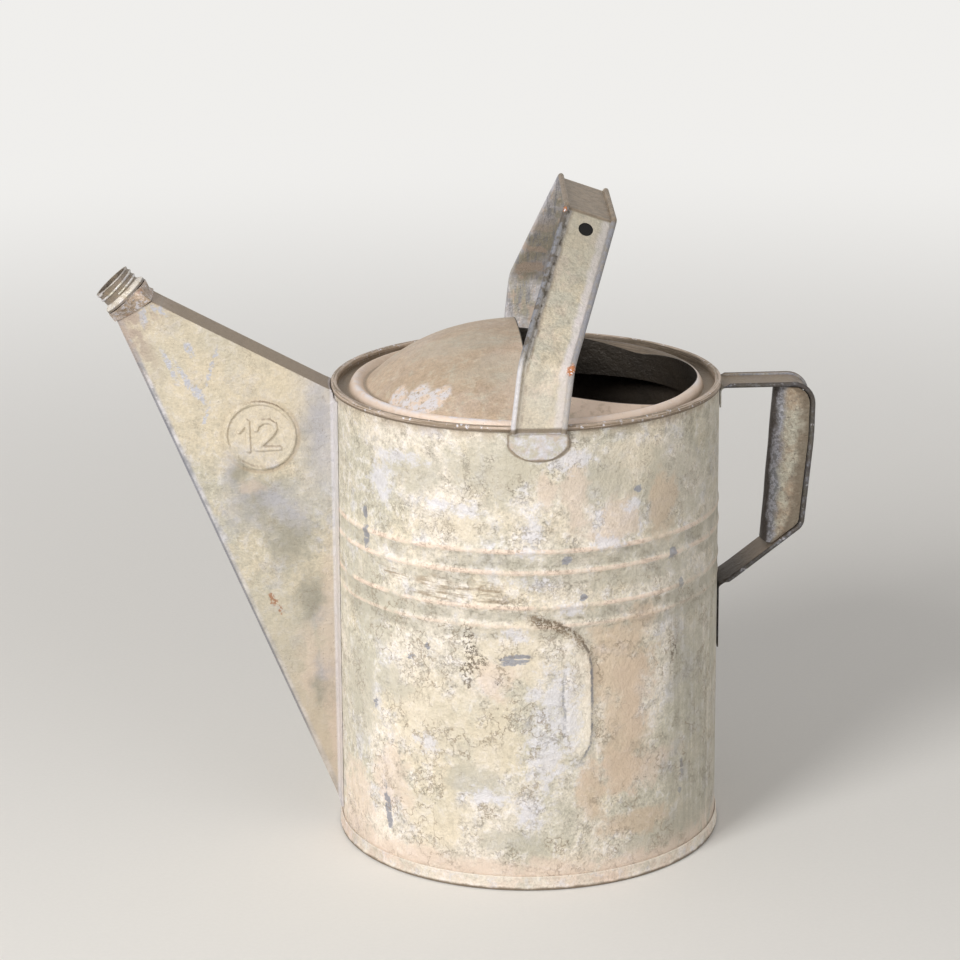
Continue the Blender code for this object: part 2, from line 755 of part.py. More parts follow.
def build_handle_strap(parts):
    """The pouring handle: a strap with rolled edges and a tab at each end, soldered on the wall."""
    section = strap_section(HANDLE_WIDTH, HANDLE_SHEET, HANDLE_ROLL)
    wall = wall_radius() + HANDLE_SHEET / 2
    across = Vector((0, -1, 0))
    path = handle_path()
    rings = []
    for centre, along in zip(path, tangents(path)):
        outward = across.cross(along)
        away = (centre.x - wall) / HANDLE_BEND_RADIUS
        ring = []
        for sideways, out in section:
            if away < 1.05:
                out = min(max(out, -HANDLE_SHEET / 2), HANDLE_SHEET / 2)
            point = centre + across * sideways + outward * out
            sag = wall - math.sqrt(wall**2 - sideways**2)
            point.x -= sag * max(0.0, 1 - max(away, 0.0) / 3)
            ring.append(point)
        rings.append(ring)
    return add_object("handle_strap", loft(rings), parts, "zinc_dark")


def sheath_back(height):
    """Where the sheath's edges stop at a height, just inside the handle strap."""
    path = handle_path()
    for before, after in zip(path, path[1:]):
        if after.z <= height < before.z:
            share = (before.z - height) / (before.z - after.z)
            slope = (after - before).normalized()
            inset = (HANDLE_SHEET / 2 + 2 * GAP) / max(abs(slope.z), 0.2)
            return before.x + (after.x - before.x) * share - inset
    return path[-1].x


def build_grip_sheath(parts):
    """The half-round trough inside the grip, open towards the strap and at its lower end."""
    rings = []
    for row in range(SHEATH_ROWS + 1):
        share = row / SHEATH_ROWS
        drop = SHEATH_TOP_DROP + (SHEATH_FOOT_DROP - SHEATH_TOP_DROP) * share
        height = RIM_HEIGHT - HANDLE_ARM_DROP - drop
        depth = SHEATH_DEPTH + (SHEATH_FOOT_DEPTH - SHEATH_DEPTH) * share
        crest = BODY_RADIUS + HANDLE_OUT - depth
        back = sheath_back(height)
        ring = []
        for column in range(SHEATH_COLUMNS + 1):
            turn = math.pi * column / SHEATH_COLUMNS
            across = -SHEATH_WIDTH / 2 * math.cos(turn)
            ring.append(Vector((back - (back - crest) * math.sin(turn), across, height)))
        rings.append(ring)
    sheath = add_object("grip_sheath", loft(rings, closed=False, capped=False), parts, "zinc_dark")
    solidify(sheath, SHEATH_SHEET)
    return sheath


def main():
    """Builds every piece of the can."""
    clear_scene()
    parts = make_collection("watering_can")
    cutters = make_collection("cutters")
    build_body_shell(parts, cutters)
    build_bottom_plate(parts)
    build_foot_hoop(parts)
    build_hood(parts, cutters)
    build_spout_shell(parts)
    build_spout_neck(parts)
    build_spout_collar(parts)
    build_bail_strap(parts, cutters)
    build_handle_strap(parts)
    build_grip_sheath(parts)


main()
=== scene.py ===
"""A weathered galvanised watering can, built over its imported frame.

Metres, +Z up. The body's axis stands at AXIS, the spout points to -X and the back handle to +X.
Inside the materials, and in the tables of marks and strokes, lengths are in millimetres.
"""

import math

import bmesh
import bpy
import numpy as np
from mathutils import Matrix, Vector, noise
from mathutils.kdtree import KDTree


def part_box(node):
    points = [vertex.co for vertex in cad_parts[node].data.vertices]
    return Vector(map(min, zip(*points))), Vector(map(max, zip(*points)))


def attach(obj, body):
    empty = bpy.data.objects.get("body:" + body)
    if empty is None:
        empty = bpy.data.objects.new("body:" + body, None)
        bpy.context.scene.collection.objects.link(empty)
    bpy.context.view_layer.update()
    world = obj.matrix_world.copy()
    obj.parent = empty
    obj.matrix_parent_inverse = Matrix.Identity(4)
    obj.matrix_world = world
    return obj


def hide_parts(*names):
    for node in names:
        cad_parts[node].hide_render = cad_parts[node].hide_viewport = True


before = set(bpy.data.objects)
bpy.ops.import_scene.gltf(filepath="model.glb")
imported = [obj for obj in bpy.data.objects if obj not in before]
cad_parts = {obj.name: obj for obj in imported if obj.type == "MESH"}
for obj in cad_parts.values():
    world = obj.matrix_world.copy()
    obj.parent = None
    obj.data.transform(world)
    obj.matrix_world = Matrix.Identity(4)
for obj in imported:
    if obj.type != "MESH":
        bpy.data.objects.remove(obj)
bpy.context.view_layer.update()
HOOP_LOW, HOOP_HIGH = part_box("foot_hoop")
AXIS = Vector(((HOOP_LOW[0] + HOOP_HIGH[0]) / 2, 0.0, 0.0))

bl_info = {
    "name": "Weathered Watering Can",
    "version": (1, 0, 0),
    "blender": (4, 5, 0),
    "location": "View3D > Sidebar > Watering Can",
    "description": "Builds the pieces, finishes and studio of a galvanised watering can",
    "category": "Add Mesh",
}

MM = 1000.0

# Sheets and clearances, as in the frame
SHEET = 0.0009
STRAP_SHEET = 0.0010
SHEATH_SHEET = 0.0008
HALF_STRAP = STRAP_SHEET / 2
GAP = 0.0003
WELD = 0.00001

# The wall's beads, counted down from the rim, and its water holes
BEAD_DROPS = (0.0753, 0.0881, 0.1094, 0.1211)
BEAD_SHARES = (1.0, 1.0, 0.9, 0.7)
BEAD_HALF_WIDTH = 0.0033
WATER_HOLES = 8
LOWEST_HOLE = 0.0400
HIGHEST_HOLE_DROP = 0.0372

# The hood, from its folded rim inwards
RIM_SKIRT = 0.0035
RIM_FOLD = 0.0038
CHANNEL = 0.0068
MOULDING = 0.0094
GROOVE = 0.0012
MOUTH_EDGE = 0.0041
FREE_EDGE = -0.0040

# The spout's wedge and the middle of its badge
SEAM_FOOT = 0.0147
SEAM_WIDTH = 0.0042
WEDGE_DROP = 0.0024
FLANGE_REACH = 0.0110
WEDGE_ROOT = 0.121
SEAM_TIP = (-0.0217, 0.0, -0.0141)
BADGE_X = -0.1622
BADGE_Z = 0.2565

# The collar: its place from the wedge's tip, its lean in degrees, its height and its thread
COLLAR_FOOT = (-0.0157, 0.0, 0.0008)
COLLAR_LEAN = 47.9
COLLAR_HEIGHT = 0.0127
COLLAR_FLANGE = 0.00285
THREAD_TURNS = 1.9
THREAD_PITCH = 0.0034
THREAD_START = 0.0052

# The straps: the turn and the tilts of the carrying strap are in degrees
BAIL_X = 0.0040
BAIL_KINK = 0.0343
BAIL_CLIMB = 0.0741
BAIL_TURN = -2.6
BAIL_TILT = (5.0, 14.3)
TAB_HALF = 0.01775
TAB_FOOT = 0.0208
TAB_ROUND = 0.0088
HOLE_DROP = 0.0110
HOLE_RADIUS = 0.0043
# A thin sheet left across the hole, painted black as the shade seen through it.
HOLE_SHADE_WEB = 0.0002
ARM_DROP = 0.0069
GRIP_OUT = 0.0562
SHEATH_ENDS = (0.0015, 0.0998)
SHEATH_CRESTS = (0.0221, 0.0288)

# The fold in the wall and the faint line inside it, as (round the wall from the front, up)
CREASE = (
    (-14, 172.5), (-2, 170.5), (9, 167.3), (17, 162.5), (23.5, 156), (27.6, 149),
    (29.2, 139), (29.6, 121), (29.4, 104), (28.6, 92), (25, 84), (20, 76),
)
CREASE_TWIN = ((13.9, 137), (12.6, 124), (13.8, 110), (13.2, 97))

# Where the wall is tinted: (round the wall, up, half width, half height) and perhaps degrees of turn
WALL_MARKS = {
    "straw": (
        (-72, 105, 33, 41), (-28, 98, 17, 30), (-67, 43, 28, 24), (-18, 258, 20, 12), (-7, 161, 26, 11),
        (58, 256, 26, 20), (-20, 145, 30, 20), (45, 120, 20, 34), (-50, 225, 30, 8),
    ),
    "sage": (
        (-30, 258, 34, 18), (35, 253, 22, 16), (86, 240, 34, 30), (-117, 167, 34, 25), (-39, 68, 20, 10),
        (-19, 30, 26, 8), (86, 22, 42, 12), (-77, 255, 22, 12), (26, 138, 12, 22), (-95, 120, 20, 12),
        (-130, 110, 20, 40), (60, 190, 40, 5),
    ),
    "peach": (
        (45, 227, 20, 13), (-139, 25, 26, 34), (-27, 133, 15, 12), (-17, 11, 60, 9), (71, 9, 60, 8),
        (-82, 10, 60, 12), (3, 250, 6, 12), (20, 250, 8, 26), (-100, 60, 18, 26), (60, 70, 34, 16),
        (60, 120, 14, 30),
    ),
    "frost": (
        (-60, 237, 11, 4), (-44, 236, 10, 6), (-6, 221, 9, 15, -10), (-1, 192, 14, 5, -8),
        (19, 176, 9, 5), (-72, 88, 9, 8), (-4, 124, 7, 5), (8, 118, 11, 26), (2, 82, 13, 20),
        (16, 112, 8, 34), (-33, 58, 12, 7), (-7, 48, 8, 12), (102, 54, 6, 9, 15), (57, 235, 8, 4),
        (62, 223, 2.5, 8), (34, 228, 5, 11), (22, 267, 13, 7), (11, 264, 12, 6), (-104, 246, 12, 14),
        (-16, 160, 10, 6), (95, 150, 7, 14), (40, 214, 10, 4), (-90, 262, 20, 5),
    ),
    "tan": (
        (48, 140, 26, 34), (52, 92, 20, 40), (30, 62, 10, 22), (64, 165, 14, 12), (80, 232, 16, 20),
        (60, 35, 30, 10),
    ),
    "slate": (
        (-17, 145, 10, 3.4, 4), (-11, 147, 6, 2.6), (-82, 140, 4, 2, 12), (-70, 149, 2.2, 3),
        (-112, 104, 2.5, 3.5), (15, 206, 3.5, 3), (25, 182, 3, 2.4), (-119, 208, 3.5, 9),
        (-119, 222, 2.5, 5), (100, 60, 2, 8, 12), (98, 46, 2.5, 2.5), (-103, 38, 3, 16, 8),
        (96, 178, 2.5, 5), (88, 200, 4, 3, 30), (60, 244, 3, 2.2),
    ),
    "grime": (
        (-63, 190, 18, 6), (-40, 186, 24, 7, -4), (-61, 182, 26, 4), (-22, 181, 16, 4, -6),
        (-98, 190, 20, 4),
    ),
    "dark": (
        (-43, 258, 2.0, 14, 4), (17, 217, 5, 3), (-44, 158, 3.6, 7), (-42, 149, 4, 5), (-37, 143, 5, 4),
        (-45, 137, 4, 5), (-44, 131, 2.6, 4), (90, 138, 2.4, 7, -12),
    ),
}

# Shallow dents in the wall: (round the wall, up, half width, half height, metres deep)
WALL_DENTS = (
    (-43, 150, 16, 22, 0.0012), (-3, 118, 13, 30, 0.0007), (88, 56, 22, 16, 0.0010),
    (-70, 70, 30, 24, 0.0009), (60, 100, 24, 40, 0.0007),
)

# Where the spout is tinted: (x, up, half width, half height) and perhaps degrees of turn
SPOUT_MARKS = {
    # shade: painted shade in and round the dent under the badge, with grey-green film.
    "shade": (
        (-162, 212, 26, 18, 25), (-146, 196, 16, 28), (-128, 262, 9, 26), (-178, 232, 10, 14),
        (-134, 150, 10, 20), (-128, 96, 8, 20),
    ),
    "warm": ((-168, 222, 8, 6), (-122, 130, 8, 60), (-120, 70, 6, 40), (-136, 110, 8, 26)),
    "scrape": (
        (-215, 300, 2.2, 14, 24), (-206, 292, 2.0, 15, 28), (-203, 312, 3, 6, 20), (-198, 283, 3, 8, 30),
        (-190, 300, 1.3, 16, -18), (-194, 270, 1.2, 10, -20), (-230, 332, 3.0, 8),
        (-220, 336, 7, 2.5, -20),
    ),
    "rust": ((-157, 150, 2.4, 5, 28), (-153, 143, 1.2, 3, 20)),
}

# Strokes of the capacity number, in millimetres from the middle of its ring
ONE = ((-12.8, 2.8), (-7.5, 9.0), (-7.3, -9.6))
TWO = (
    (-2.4, 3.9), (-1.6, 6.7), (1.6, 9.0), (5.6, 9.3), (8.7, 7.3),
    (9.2, 4.1), (7.2, 0.9), (2.4, -3.8), (-2.4, -8.4), (11.6, -7.9),
)

# The studio
PAPER = (0.87, 0.86, 0.84, 1.0)
SENSOR = 36.0
LENS = 2978 / 960 * SENSOR
CAMERA_TURN = -3.1
CAMERA_RISE = 16.265
CAMERA_ROLL = -0.6045
CAMERA_DISTANCE = 1.8292
CAMERA_AIM = (-0.0286, 0.2217)
LAMP_AIM = (0.0, 0.0, 0.16)


def length(name, metres, text):
    """A size in metres."""
    return bpy.props.FloatProperty(
        name=name, description=text, default=metres, precision=5, subtype="DISTANCE", unit="LENGTH"
    )


def tint(name, colour, text):
    """A linear colour."""
    return bpy.props.FloatVectorProperty(
        name=name, description=text, default=colour, subtype="COLOR", size=3, min=0.0, max=1.0
    )


class CanSizes(bpy.types.PropertyGroup):
    """Sizes of the can's pieces."""

    body_radius: length("Body radius", 0.1175, "Outside of the wall")
    rim_height: length("Rim height", 0.2872, "Top of the folded rim above the floor")
    bead_rise: length("Bead rise", 0.0013, "How far the wall's beads stand out")
    dent_depth: length("Dent depth", 0.0008, "How far the wall waves in and out")
    crease_rise: length("Crease rise", 0.0015, "How far the folded dent stands out")
    dome_rise: length("Dome rise", 0.0332, "Height of the hood's dome above its groove")
    mouth_radius: length("Mouth radius", 0.0820, "Radius of the filling mouth")
    spout_length: length("Spout length", 0.1065, "Run of the spout's top face from the wall")
    spout_rise: length("Spout rise", 0.0543, "Climb of the spout's top face over the rim")
    spout_top: length("Spout top width", 0.0300, "Width of the spout's top face")
    badge_radius: length("Badge radius", 0.0208, "Middle of the raised ring round the capacity number")
    badge_rise: length("Badge rise", 0.0014, "How far the capacity number and its ring stand out")
    collar_radius: length("Collar radius", 0.0119, "Outside of the collar between its threads")
    thread_rise: length("Thread rise", 0.0009, "Height of the collar's thread")
    bail_width: length("Carrying strap width", 0.0325, "Width over both rolled edges")
    bail_roll: length("Carrying strap roll", 0.0017, "Radius of the rolled edge")
    handle_width: length("Handle width", 0.0300, "Width over both rolled edges")
    handle_roll: length("Handle roll", 0.0014, "Radius of the rolled edge")
    sheath_width: length("Sheath width", 0.0260, "Width of the trough in the grip")


class CanColours(bpy.types.PropertyGroup):
    """Linear colours of the can's finishes."""

    cream: tint("Cream", (0.84, 0.77, 0.67), "Chalky zinc where it is palest and warm")
    sage: tint("Sage", (0.54, 0.51, 0.42), "Green-grey film on the zinc")
    straw: tint("Straw", (0.81, 0.71, 0.54), "Yellowed zinc")
    # Peach also stands for painted highlight on the wall's bead crests, the hood's front and the
    # carrying strap's right edge.
    peach: tint("Peach", (0.80, 0.65, 0.54), "Pinkish bloom")
    # Frost also stands for painted highlight on the carrying strap's rolled edges and the moulding's
    # front.
    frost: tint("Frost", (0.80, 0.79, 0.85), "Bluish white, rubbed zinc")
    slate: tint("Slate", (0.29, 0.30, 0.35), "Blue-grey bare zinc")
    # Umber also stands for painted shade in the hood's channel and painted shadow round the strap's tab,
    # at its step over the rim and beside the badge ring.
    umber: tint("Umber", (0.16, 0.12, 0.08), "Brown dirt in cracks and seams")
    # Taupe is also laid on faces that look up as painted shade.
    taupe: tint("Taupe", (0.49, 0.375, 0.27), "Brown-grey film on faces that look up")
    rust: tint("Rust", (0.42, 0.17, 0.07), "Rust in chips")
    # The darkest tone also stands for painted shade inside the can and its mouth, in the collar's bore,
    # the strap's hole, the lower arm's ends and on the sheath's crest.
    soot_and_shade: tint("Soot and shade", (0.035, 0.028, 0.024), "Dark insides and undersides")
    floor: tint("Floor", (0.82, 0.81, 0.79), "The studio floor")


def sizes():
    """The sizes set in the sidebar."""
    return bpy.context.scene.can_sizes


def tone(name, strength=1.0):
    """One of the finish colours, lighter or darker, with its alpha."""
    return (*(value * strength for value in getattr(bpy.context.scene.can_colours, name)), 1.0)


# Node trees


class Wire:
    """A socket of a node tree that can be reckoned with like a number."""

    def __init__(self, tree, socket):
        self.tree = tree
        self.socket = socket

    def node(self, kind, settings=None, inputs=None, output=0):
        """Adds a node, sets it up, then fills or links its sockets."""
        made = self.tree.nodes.new(kind)
        for name, value in (settings or {}).items():
            setattr(made, name, value)
        for name, value in (inputs or {}).items():
            if isinstance(value, Wire):
                self.tree.links.new(value.socket, made.inputs[name])
            else:
                made.inputs[name].default_value = value
        return Wire(self.tree, made.outputs[output])

    def math(self, operation, first, second=0.0):
        return self.node("ShaderNodeMath", {"operation": operation}, {0: first, 1: second})

    def __add__(self, other):
        return self.math("ADD", self, other)

    def __sub__(self, other):
        return self.math("SUBTRACT", self, other)

    def __rsub__(self, other):
        return self.math("SUBTRACT", other, self)

    def __mul__(self, other):
        return self.math("MULTIPLY", self, other)

    def __truediv__(self, other):
        return self.math("DIVIDE", self, other)

    def __neg__(self):
        return self.math("MULTIPLY", self, -1.0)

    __radd__ = __add__
    __rmul__ = __mul__

    def root(self):
        return self.math("SQRT", self)

    def size(self):
        return self.math("ABSOLUTE", self)

    def near(self, middle, away, close):
        """0 where this number is that far away from a middle, 1 where it is that close."""
        return (self - middle).size().smooth(away, close)

    def least(self, other):
        return self.math("MINIMUM", self, other)

    def most(self, other):
        return self.math("MAXIMUM", self, other)

    def vector(self, operation, *others, output=0):
        """This vector, worked on by others."""
        inputs = dict(enumerate((self, *others)))
        return self.node("ShaderNodeVectorMath", {"operation": operation}, inputs, output)

    def part(self, axis):
        """One of the three numbers of a vector."""
        return self.node("ShaderNodeSeparateXYZ", inputs={0: self}, output="XYZ".index(axis))

    def parts(self):
        """All three numbers of a vector."""
        return [self.part(axis) for axis in "XYZ"]

    def joined(self, second, third):
        """A vector of this number and two more."""
        return self.node("ShaderNodeCombineXYZ", inputs={0: self, 1: second, 2: third})

    def stretched(self, x, y, z):
        """The vector with each axis multiplied."""
        return self.vector("MULTIPLY", (x, y, z))

    def smooth(self, low, high, start=0.0, end=1.0):
        """Eases from start to end while this number goes from low to high."""
        inputs = {0: self, 1: low, 2: high, 3: start, 4: end}
        return self.node("ShaderNodeMapRange", {"interpolation_type": "SMOOTHSTEP"}, inputs)

    def mix(self, first, second):
        """The first colour where this mask is 0, the second where it is 1."""
        return self.node("ShaderNodeMix", {"data_type": "RGBA"}, {0: self, 6: first, 7: second}, 2)

    def between(self, first, strength, second, other):
        """From one named tone to another, each with its strength."""
        return self.mix(tone(first, strength), tone(second, other))

    def dimmed(self, factor):
        """The colour times a number."""
        return self.node("ShaderNodeVectorMath", {"operation": "SCALE"}, {0: self, 3: factor})

    def noise(self, scale, detail=3.0, roughness=0.55, output=0):
        """Clouds, as a number, or as a colour with output 1."""
        inputs = {"Vector": self, "Scale": scale, "Detail": detail, "Roughness": roughness}
        return self.node("ShaderNodeTexNoise", None, inputs, output)

    def patches(self, scale, low, high, detail=4.0, roughness=0.7):
        """A mask over the clouds that rise from low to high."""
        return self.noise(scale, detail, roughness).smooth(low, high)

    def cells(self, scale):
        """Distance to scattered points."""
        return self.node("ShaderNodeTexVoronoi", None, {"Vector": self, "Scale": scale})

    def ragged(self, scale, amount, detail=3.0):
        """The place, pushed about by noise of that size."""
        push = self.noise(scale, detail, output=1).vector("SUBTRACT", (0.5, 0.5, 0.5))
        return push.vector("MULTIPLY_ADD", (amount, amount, amount), self)

    def spots(self, places, low=0.55, high=1.15):
        """A mask over soft ellipses, each (x, y, half x, half y) and perhaps a turn in degrees."""
        nearest = None
        for x, y, wide, tall, *turn in places:
            inputs = {
                "Vector": self,
                "Location": (x, y, 0.0),
                "Rotation": (0.0, 0.0, math.radians(turn[0]) if turn else 0.0),
                "Scale": (wide, tall, 1000.0),
            }
            local = self.node("ShaderNodeMapping", {"vector_type": "TEXTURE"}, inputs)
            reach = local.vector("LENGTH", output=1)
            nearest = reach if nearest is None else nearest.least(reach)
        return nearest.smooth(low, high, 1.0, 0.0)


def start_finish(name):
    """A new material, with its place in millimetres about the body's axis."""
    material = bpy.data.materials.new(name)
    material.use_nodes = True
    tree = material.node_tree
    coordinates = tree.nodes.new("ShaderNodeTexCoord")
    place = Wire(tree, coordinates.outputs["Object"]).vector("SUBTRACT", tuple(AXIS))
    return material, place.stretched(MM, MM, MM)


def stored(place, name, vector=False):
    """A value kept on the mesh's points."""
    return place.node("ShaderNodeAttribute", {"attribute_name": name}, output=1 if vector else 2)


def end_finish(material, colour, roughness, metal, height):
    """Links the finish: the height is in millimetres."""
    shader = material.node_tree.nodes["Principled BSDF"]
    bump = height.node("ShaderNodeBump", None, {"Strength": 1.0, "Distance": 0.001, "Height": height})
    pairs = (("Base Color", colour), ("Roughness", roughness), ("Metallic", metal), ("Normal", bump))
    for name, value in pairs:
        if isinstance(value, Wire):
            material.node_tree.links.new(value.socket, shader.inputs[name])
        else:
            shader.inputs[name].default_value = value
    return material


def patina(place, tones, seed, cloud, grain=1.0):
    """Zinc in clouds of four tones, with flecks and mottling: its colour, pale share and height."""
    base, second, third, fourth = tones
    moved = place.vector("ADD", (seed, seed * 1.7, -seed))
    mottled = moved.ragged(0.09, 11.0, 4.0)
    colour = mottled.patches(cloud, 0.38, 0.62, 5.0, 0.66).mix(base, second)
    other = mottled.vector("ADD", (230.0, 0.0, 90.0))
    colour = (other.patches(cloud * 1.7, 0.46, 0.68, 5.0, 0.68) * 0.6).mix(colour, third)
    last = mottled.vector("ADD", (0.0, 310.0, -50.0))
    pale = last.patches(cloud * 2.6, 0.52, 0.68, 5.0, 0.72) * 0.65
    colour = pale.mix(colour, fourth)
    middle = moved.noise(0.15, 5.0, 0.72)
    fine = moved.noise(0.62, 3.0, 0.7)
    colour = (middle.smooth(0.52, 0.62) * 0.35).mix(colour, fourth)
    colour = (middle.smooth(0.47, 0.37) * 0.30).mix(colour, second)
    colour = colour.dimmed((middle - 0.5) * (1.1 * grain) + (fine - 0.5) * (1.0 * grain) + 1.0)
    height = middle * 1.6 + fine * 0.38
    return colour, pale, height


def hairlines(place, scale, width, kept=0.54):
    """Thin wandering broken lines, as in a dried film: 1 on the line."""
    line = place.noise(scale, 4.0, 0.62).near(0.5, width, 0.0)
    return line * place.patches(scale * 0.45, kept - 0.05, kept + 0.03, 3.0, 0.6)


def pits(place, scale, size):
    """Scattered small pits: 1 in the pit."""
    dots = place.ragged(0.9, 1.2).cells(scale).smooth(size * 0.5, size, 1.0, 0.0)
    return dots * place.patches(0.035, 0.50, 0.60, 2.0, 0.55)


class Coat:
    """A finish in the making: its place in millimetres, and the colour and height laid so far."""

    def __init__(self, name, tones, seed, cloud, grain=1.0):
        self.material, self.place = start_finish(name)
        tones = [tone(*pair) for pair in tones]
        self.colour, self.pale, self.height = patina(self.place, tones, seed, cloud, grain)

    def over(self, mask, colour, strength=1.0):
        """Lays a named tone, or a ready colour, where the mask is 1."""
        if isinstance(colour, str):
            colour = tone(colour, strength)
        self.colour = mask.mix(self.colour, colour)

    def pitted(self, scale, size, depth, strength):
        """Darkens scattered pits and gives their mask."""
        holes = pits(self.place, scale, size)
        self.over(holes * depth, "umber", strength)
        return holes

    def done(self, roughness, metal, height):
        """The finished material."""
        return end_finish(self.material, self.colour, roughness, metal, height)


# Meshes


def collection():
    """The collection that holds the can's pieces."""
    name = "Watering can"
    found = bpy.data.collections.get(name)
    if found is None:
        found = bpy.data.collections.new(name)
        bpy.context.scene.collection.children.link(found)
    return found


def put(name, mesh):
    """An object at the origin with that mesh."""
    made = bpy.data.objects.new(name, mesh)
    collection().objects.link(made)
    return made


def to_mesh(name, bm):
    """Turns a bmesh into a mesh."""
    mesh = bpy.data.meshes.new(name)
    bm.to_mesh(mesh)
    bm.free()
    return mesh


def baked(obj):
    """The object's mesh with its modifiers applied; they are removed."""
    graph = bpy.context.evaluated_depsgraph_get()
    whole = obj.evaluated_get(graph)
    mesh = bpy.data.meshes.new_from_object(whole, preserve_all_data_layers=True, depsgraph=graph)
    old = obj.data
    obj.modifiers.clear()
    obj.data = mesh
    bpy.data.meshes.remove(old)
    return obj


def thicken(obj, sheet):
    """Gives an open surface its sheet thickness on the inner side."""
    solid = obj.modifiers.new("Sheet", "SOLIDIFY")
    solid.thickness = sheet
    solid.offset = -1.0
    solid.use_even_offset = True
    solid.use_quality_normals = True
    return baked(obj)


def carve(obj, cutter, operation="DIFFERENCE"):
    """Cuts with, joins or keeps what is shared with another object, which is used up."""
    cut = obj.modifiers.new("Cut", "BOOLEAN")
    cut.operation = operation
    cut.object = cutter
    cut.solver = "EXACT"
    baked(obj)
    mesh = cutter.data
    bpy.data.objects.remove(cutter)
    bpy.data.meshes.remove(mesh)
    return obj


def placed(name, bm):
    """An object made of a bmesh about the body's axis, moved to where that axis stands."""
    mesh = to_mesh(name, bm)
    mesh.transform(Matrix.Translation(AXIS))
    return put(name, mesh)


def rework(mesh, step):
    """Opens the mesh as a bmesh, runs the step on it and writes it back."""
    bm = bmesh.new()
    bm.from_mesh(mesh)
    step(bm)
    bm.to_mesh(mesh)
    bm.free()


def add_plug(bm, segments, radius, depth, place):
    """Adds a round plug to a bmesh."""
    bmesh.ops.create_cone(
        bm, cap_ends=True, segments=segments, radius1=radius, radius2=radius, depth=depth, matrix=place
    )


def places_of(mesh):
    """The points of a mesh as rows of x, y and z about the body's axis."""
    flat = np.empty(len(mesh.vertices) * 3)
    mesh.vertices.foreach_get("co", flat)
    return flat.reshape(-1, 3) - np.array(AXIS)


def move_points(mesh, rows):
    """Puts back the rows that places_of gave."""
    mesh.vertices.foreach_set("co", (rows + np.array(AXIS)).ravel())
    mesh.update()


def keep(mesh, name, values):
    """Stores one number, or a row of three, on each point."""
    kind = "FLOAT" if values.ndim == 1 else "FLOAT_VECTOR"
    layer = mesh.attributes.get(name) or mesh.attributes.new(name, kind, "POINT")
    field = "value" if values.ndim == 1 else "vector"
    layer.data.foreach_set(field, values.astype(np.float32).ravel())


def finish_piece(obj, material, node, angle=35.0):
    """Gives a piece its finish and smooth shading, hides the frame's part that it replaces and hangs it
    under the root.
    """
    mesh = obj.data
    mesh.materials.clear()
    mesh.materials.append(material)
    mesh.shade_smooth()
    mesh.set_sharp_from_angle(angle=math.radians(angle))
    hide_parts(node)
    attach(obj, "root")
    return obj


def turning_tree():
    """Geometry nodes that turn a profile about the body's axis, with a pitch for threads."""
    known = bpy.data.node_groups.get("Turned profile")
    if known:
        return known
    tree = bpy.data.node_groups.new("Turned profile", "GeometryNodeTree")
    sockets = (
        ("Profile", "NodeSocketGeometry", None),
        ("Segments", "NodeSocketInt", 96),
        ("Turns", "NodeSocketFloat", 1.0),
        ("Pitch", "NodeSocketFloat", 0.0),
        ("Packing", "NodeSocketFloat", 0.0),
        ("Finish", "NodeSocketMaterial", None),
    )
    for name, kind, default in sockets:
        socket = tree.interface.new_socket(name, in_out="INPUT", socket_type=kind)
        if default is not None:
            socket.default_value = default
    tree.interface.new_socket("Mesh", in_out="OUTPUT", socket_type="NodeSocketGeometry")
    given = tree.nodes.new("NodeGroupInput")
    wires = [Wire(tree, given.outputs[name]) for name, *_ in sockets]
    profile, segments, turns, pitch, packing, finish = wires

    def add(kind, **inputs):
        inputs = {name.replace("_", " "): value for name, value in inputs.items()}
        return profile.node(kind, None, inputs)

    count = add("GeometryNodeAttributeDomainSize", Geometry=profile)
    grid = add("GeometryNodeMeshGrid", Vertices_X=segments + 1, Vertices_Y=count)
    index = profile.node("GeometryNodeInputIndex")
    column = profile.math("FLOOR", (index + 0.5) / count)
    row = index - column * count
    spot = profile.node("GeometryNodeInputPosition")
    inputs = {"Geometry": profile, "Value": spot, "Index": row}
    sample = profile.node("GeometryNodeSampleIndex", {"data_type": "FLOAT_VECTOR"}, inputs)
    share = column / segments
    plain = share * turns * math.tau
    angle = plain - packing * profile.math("SINE", plain)
    radius = sample.part("X")
    around = radius * profile.math("SINE", angle)
    front = radius * profile.math("COSINE", angle)
    height = sample.part("Z") + share * turns * pitch
    moved = add("GeometryNodeSetPosition", Geometry=grid, Position=around.joined(-front, height))
    welded = add("GeometryNodeMergeByDistance", Geometry=moved, Distance=WELD)
    real = add("GeometryNodeRealizeInstances", Geometry=welded)
    done = add("GeometryNodeSetMaterial", Geometry=real, Material=finish)
    result = tree.nodes.new("NodeGroupOutput")
    tree.links.new(done.socket, result.inputs["Mesh"])
    return tree


def leaning(face):
    """How far a face looks out and up: below 0 if it looks in or down."""
    middle = face.calc_center_median()
    return face.normal.dot(Vector((middle.x, middle.y, 0.02)))


def face_outwards(bm, closed):
    """Joins points that coincide and turns the faces outwards."""
    bmesh.ops.remove_doubles(bm, verts=bm.verts, dist=WELD)
    bmesh.ops.recalc_face_normals(bm, faces=bm.faces)
    if not closed and sum(leaning(face) for face in bm.faces) < 0:
        bmesh.ops.reverse_faces(bm, faces=bm.faces)


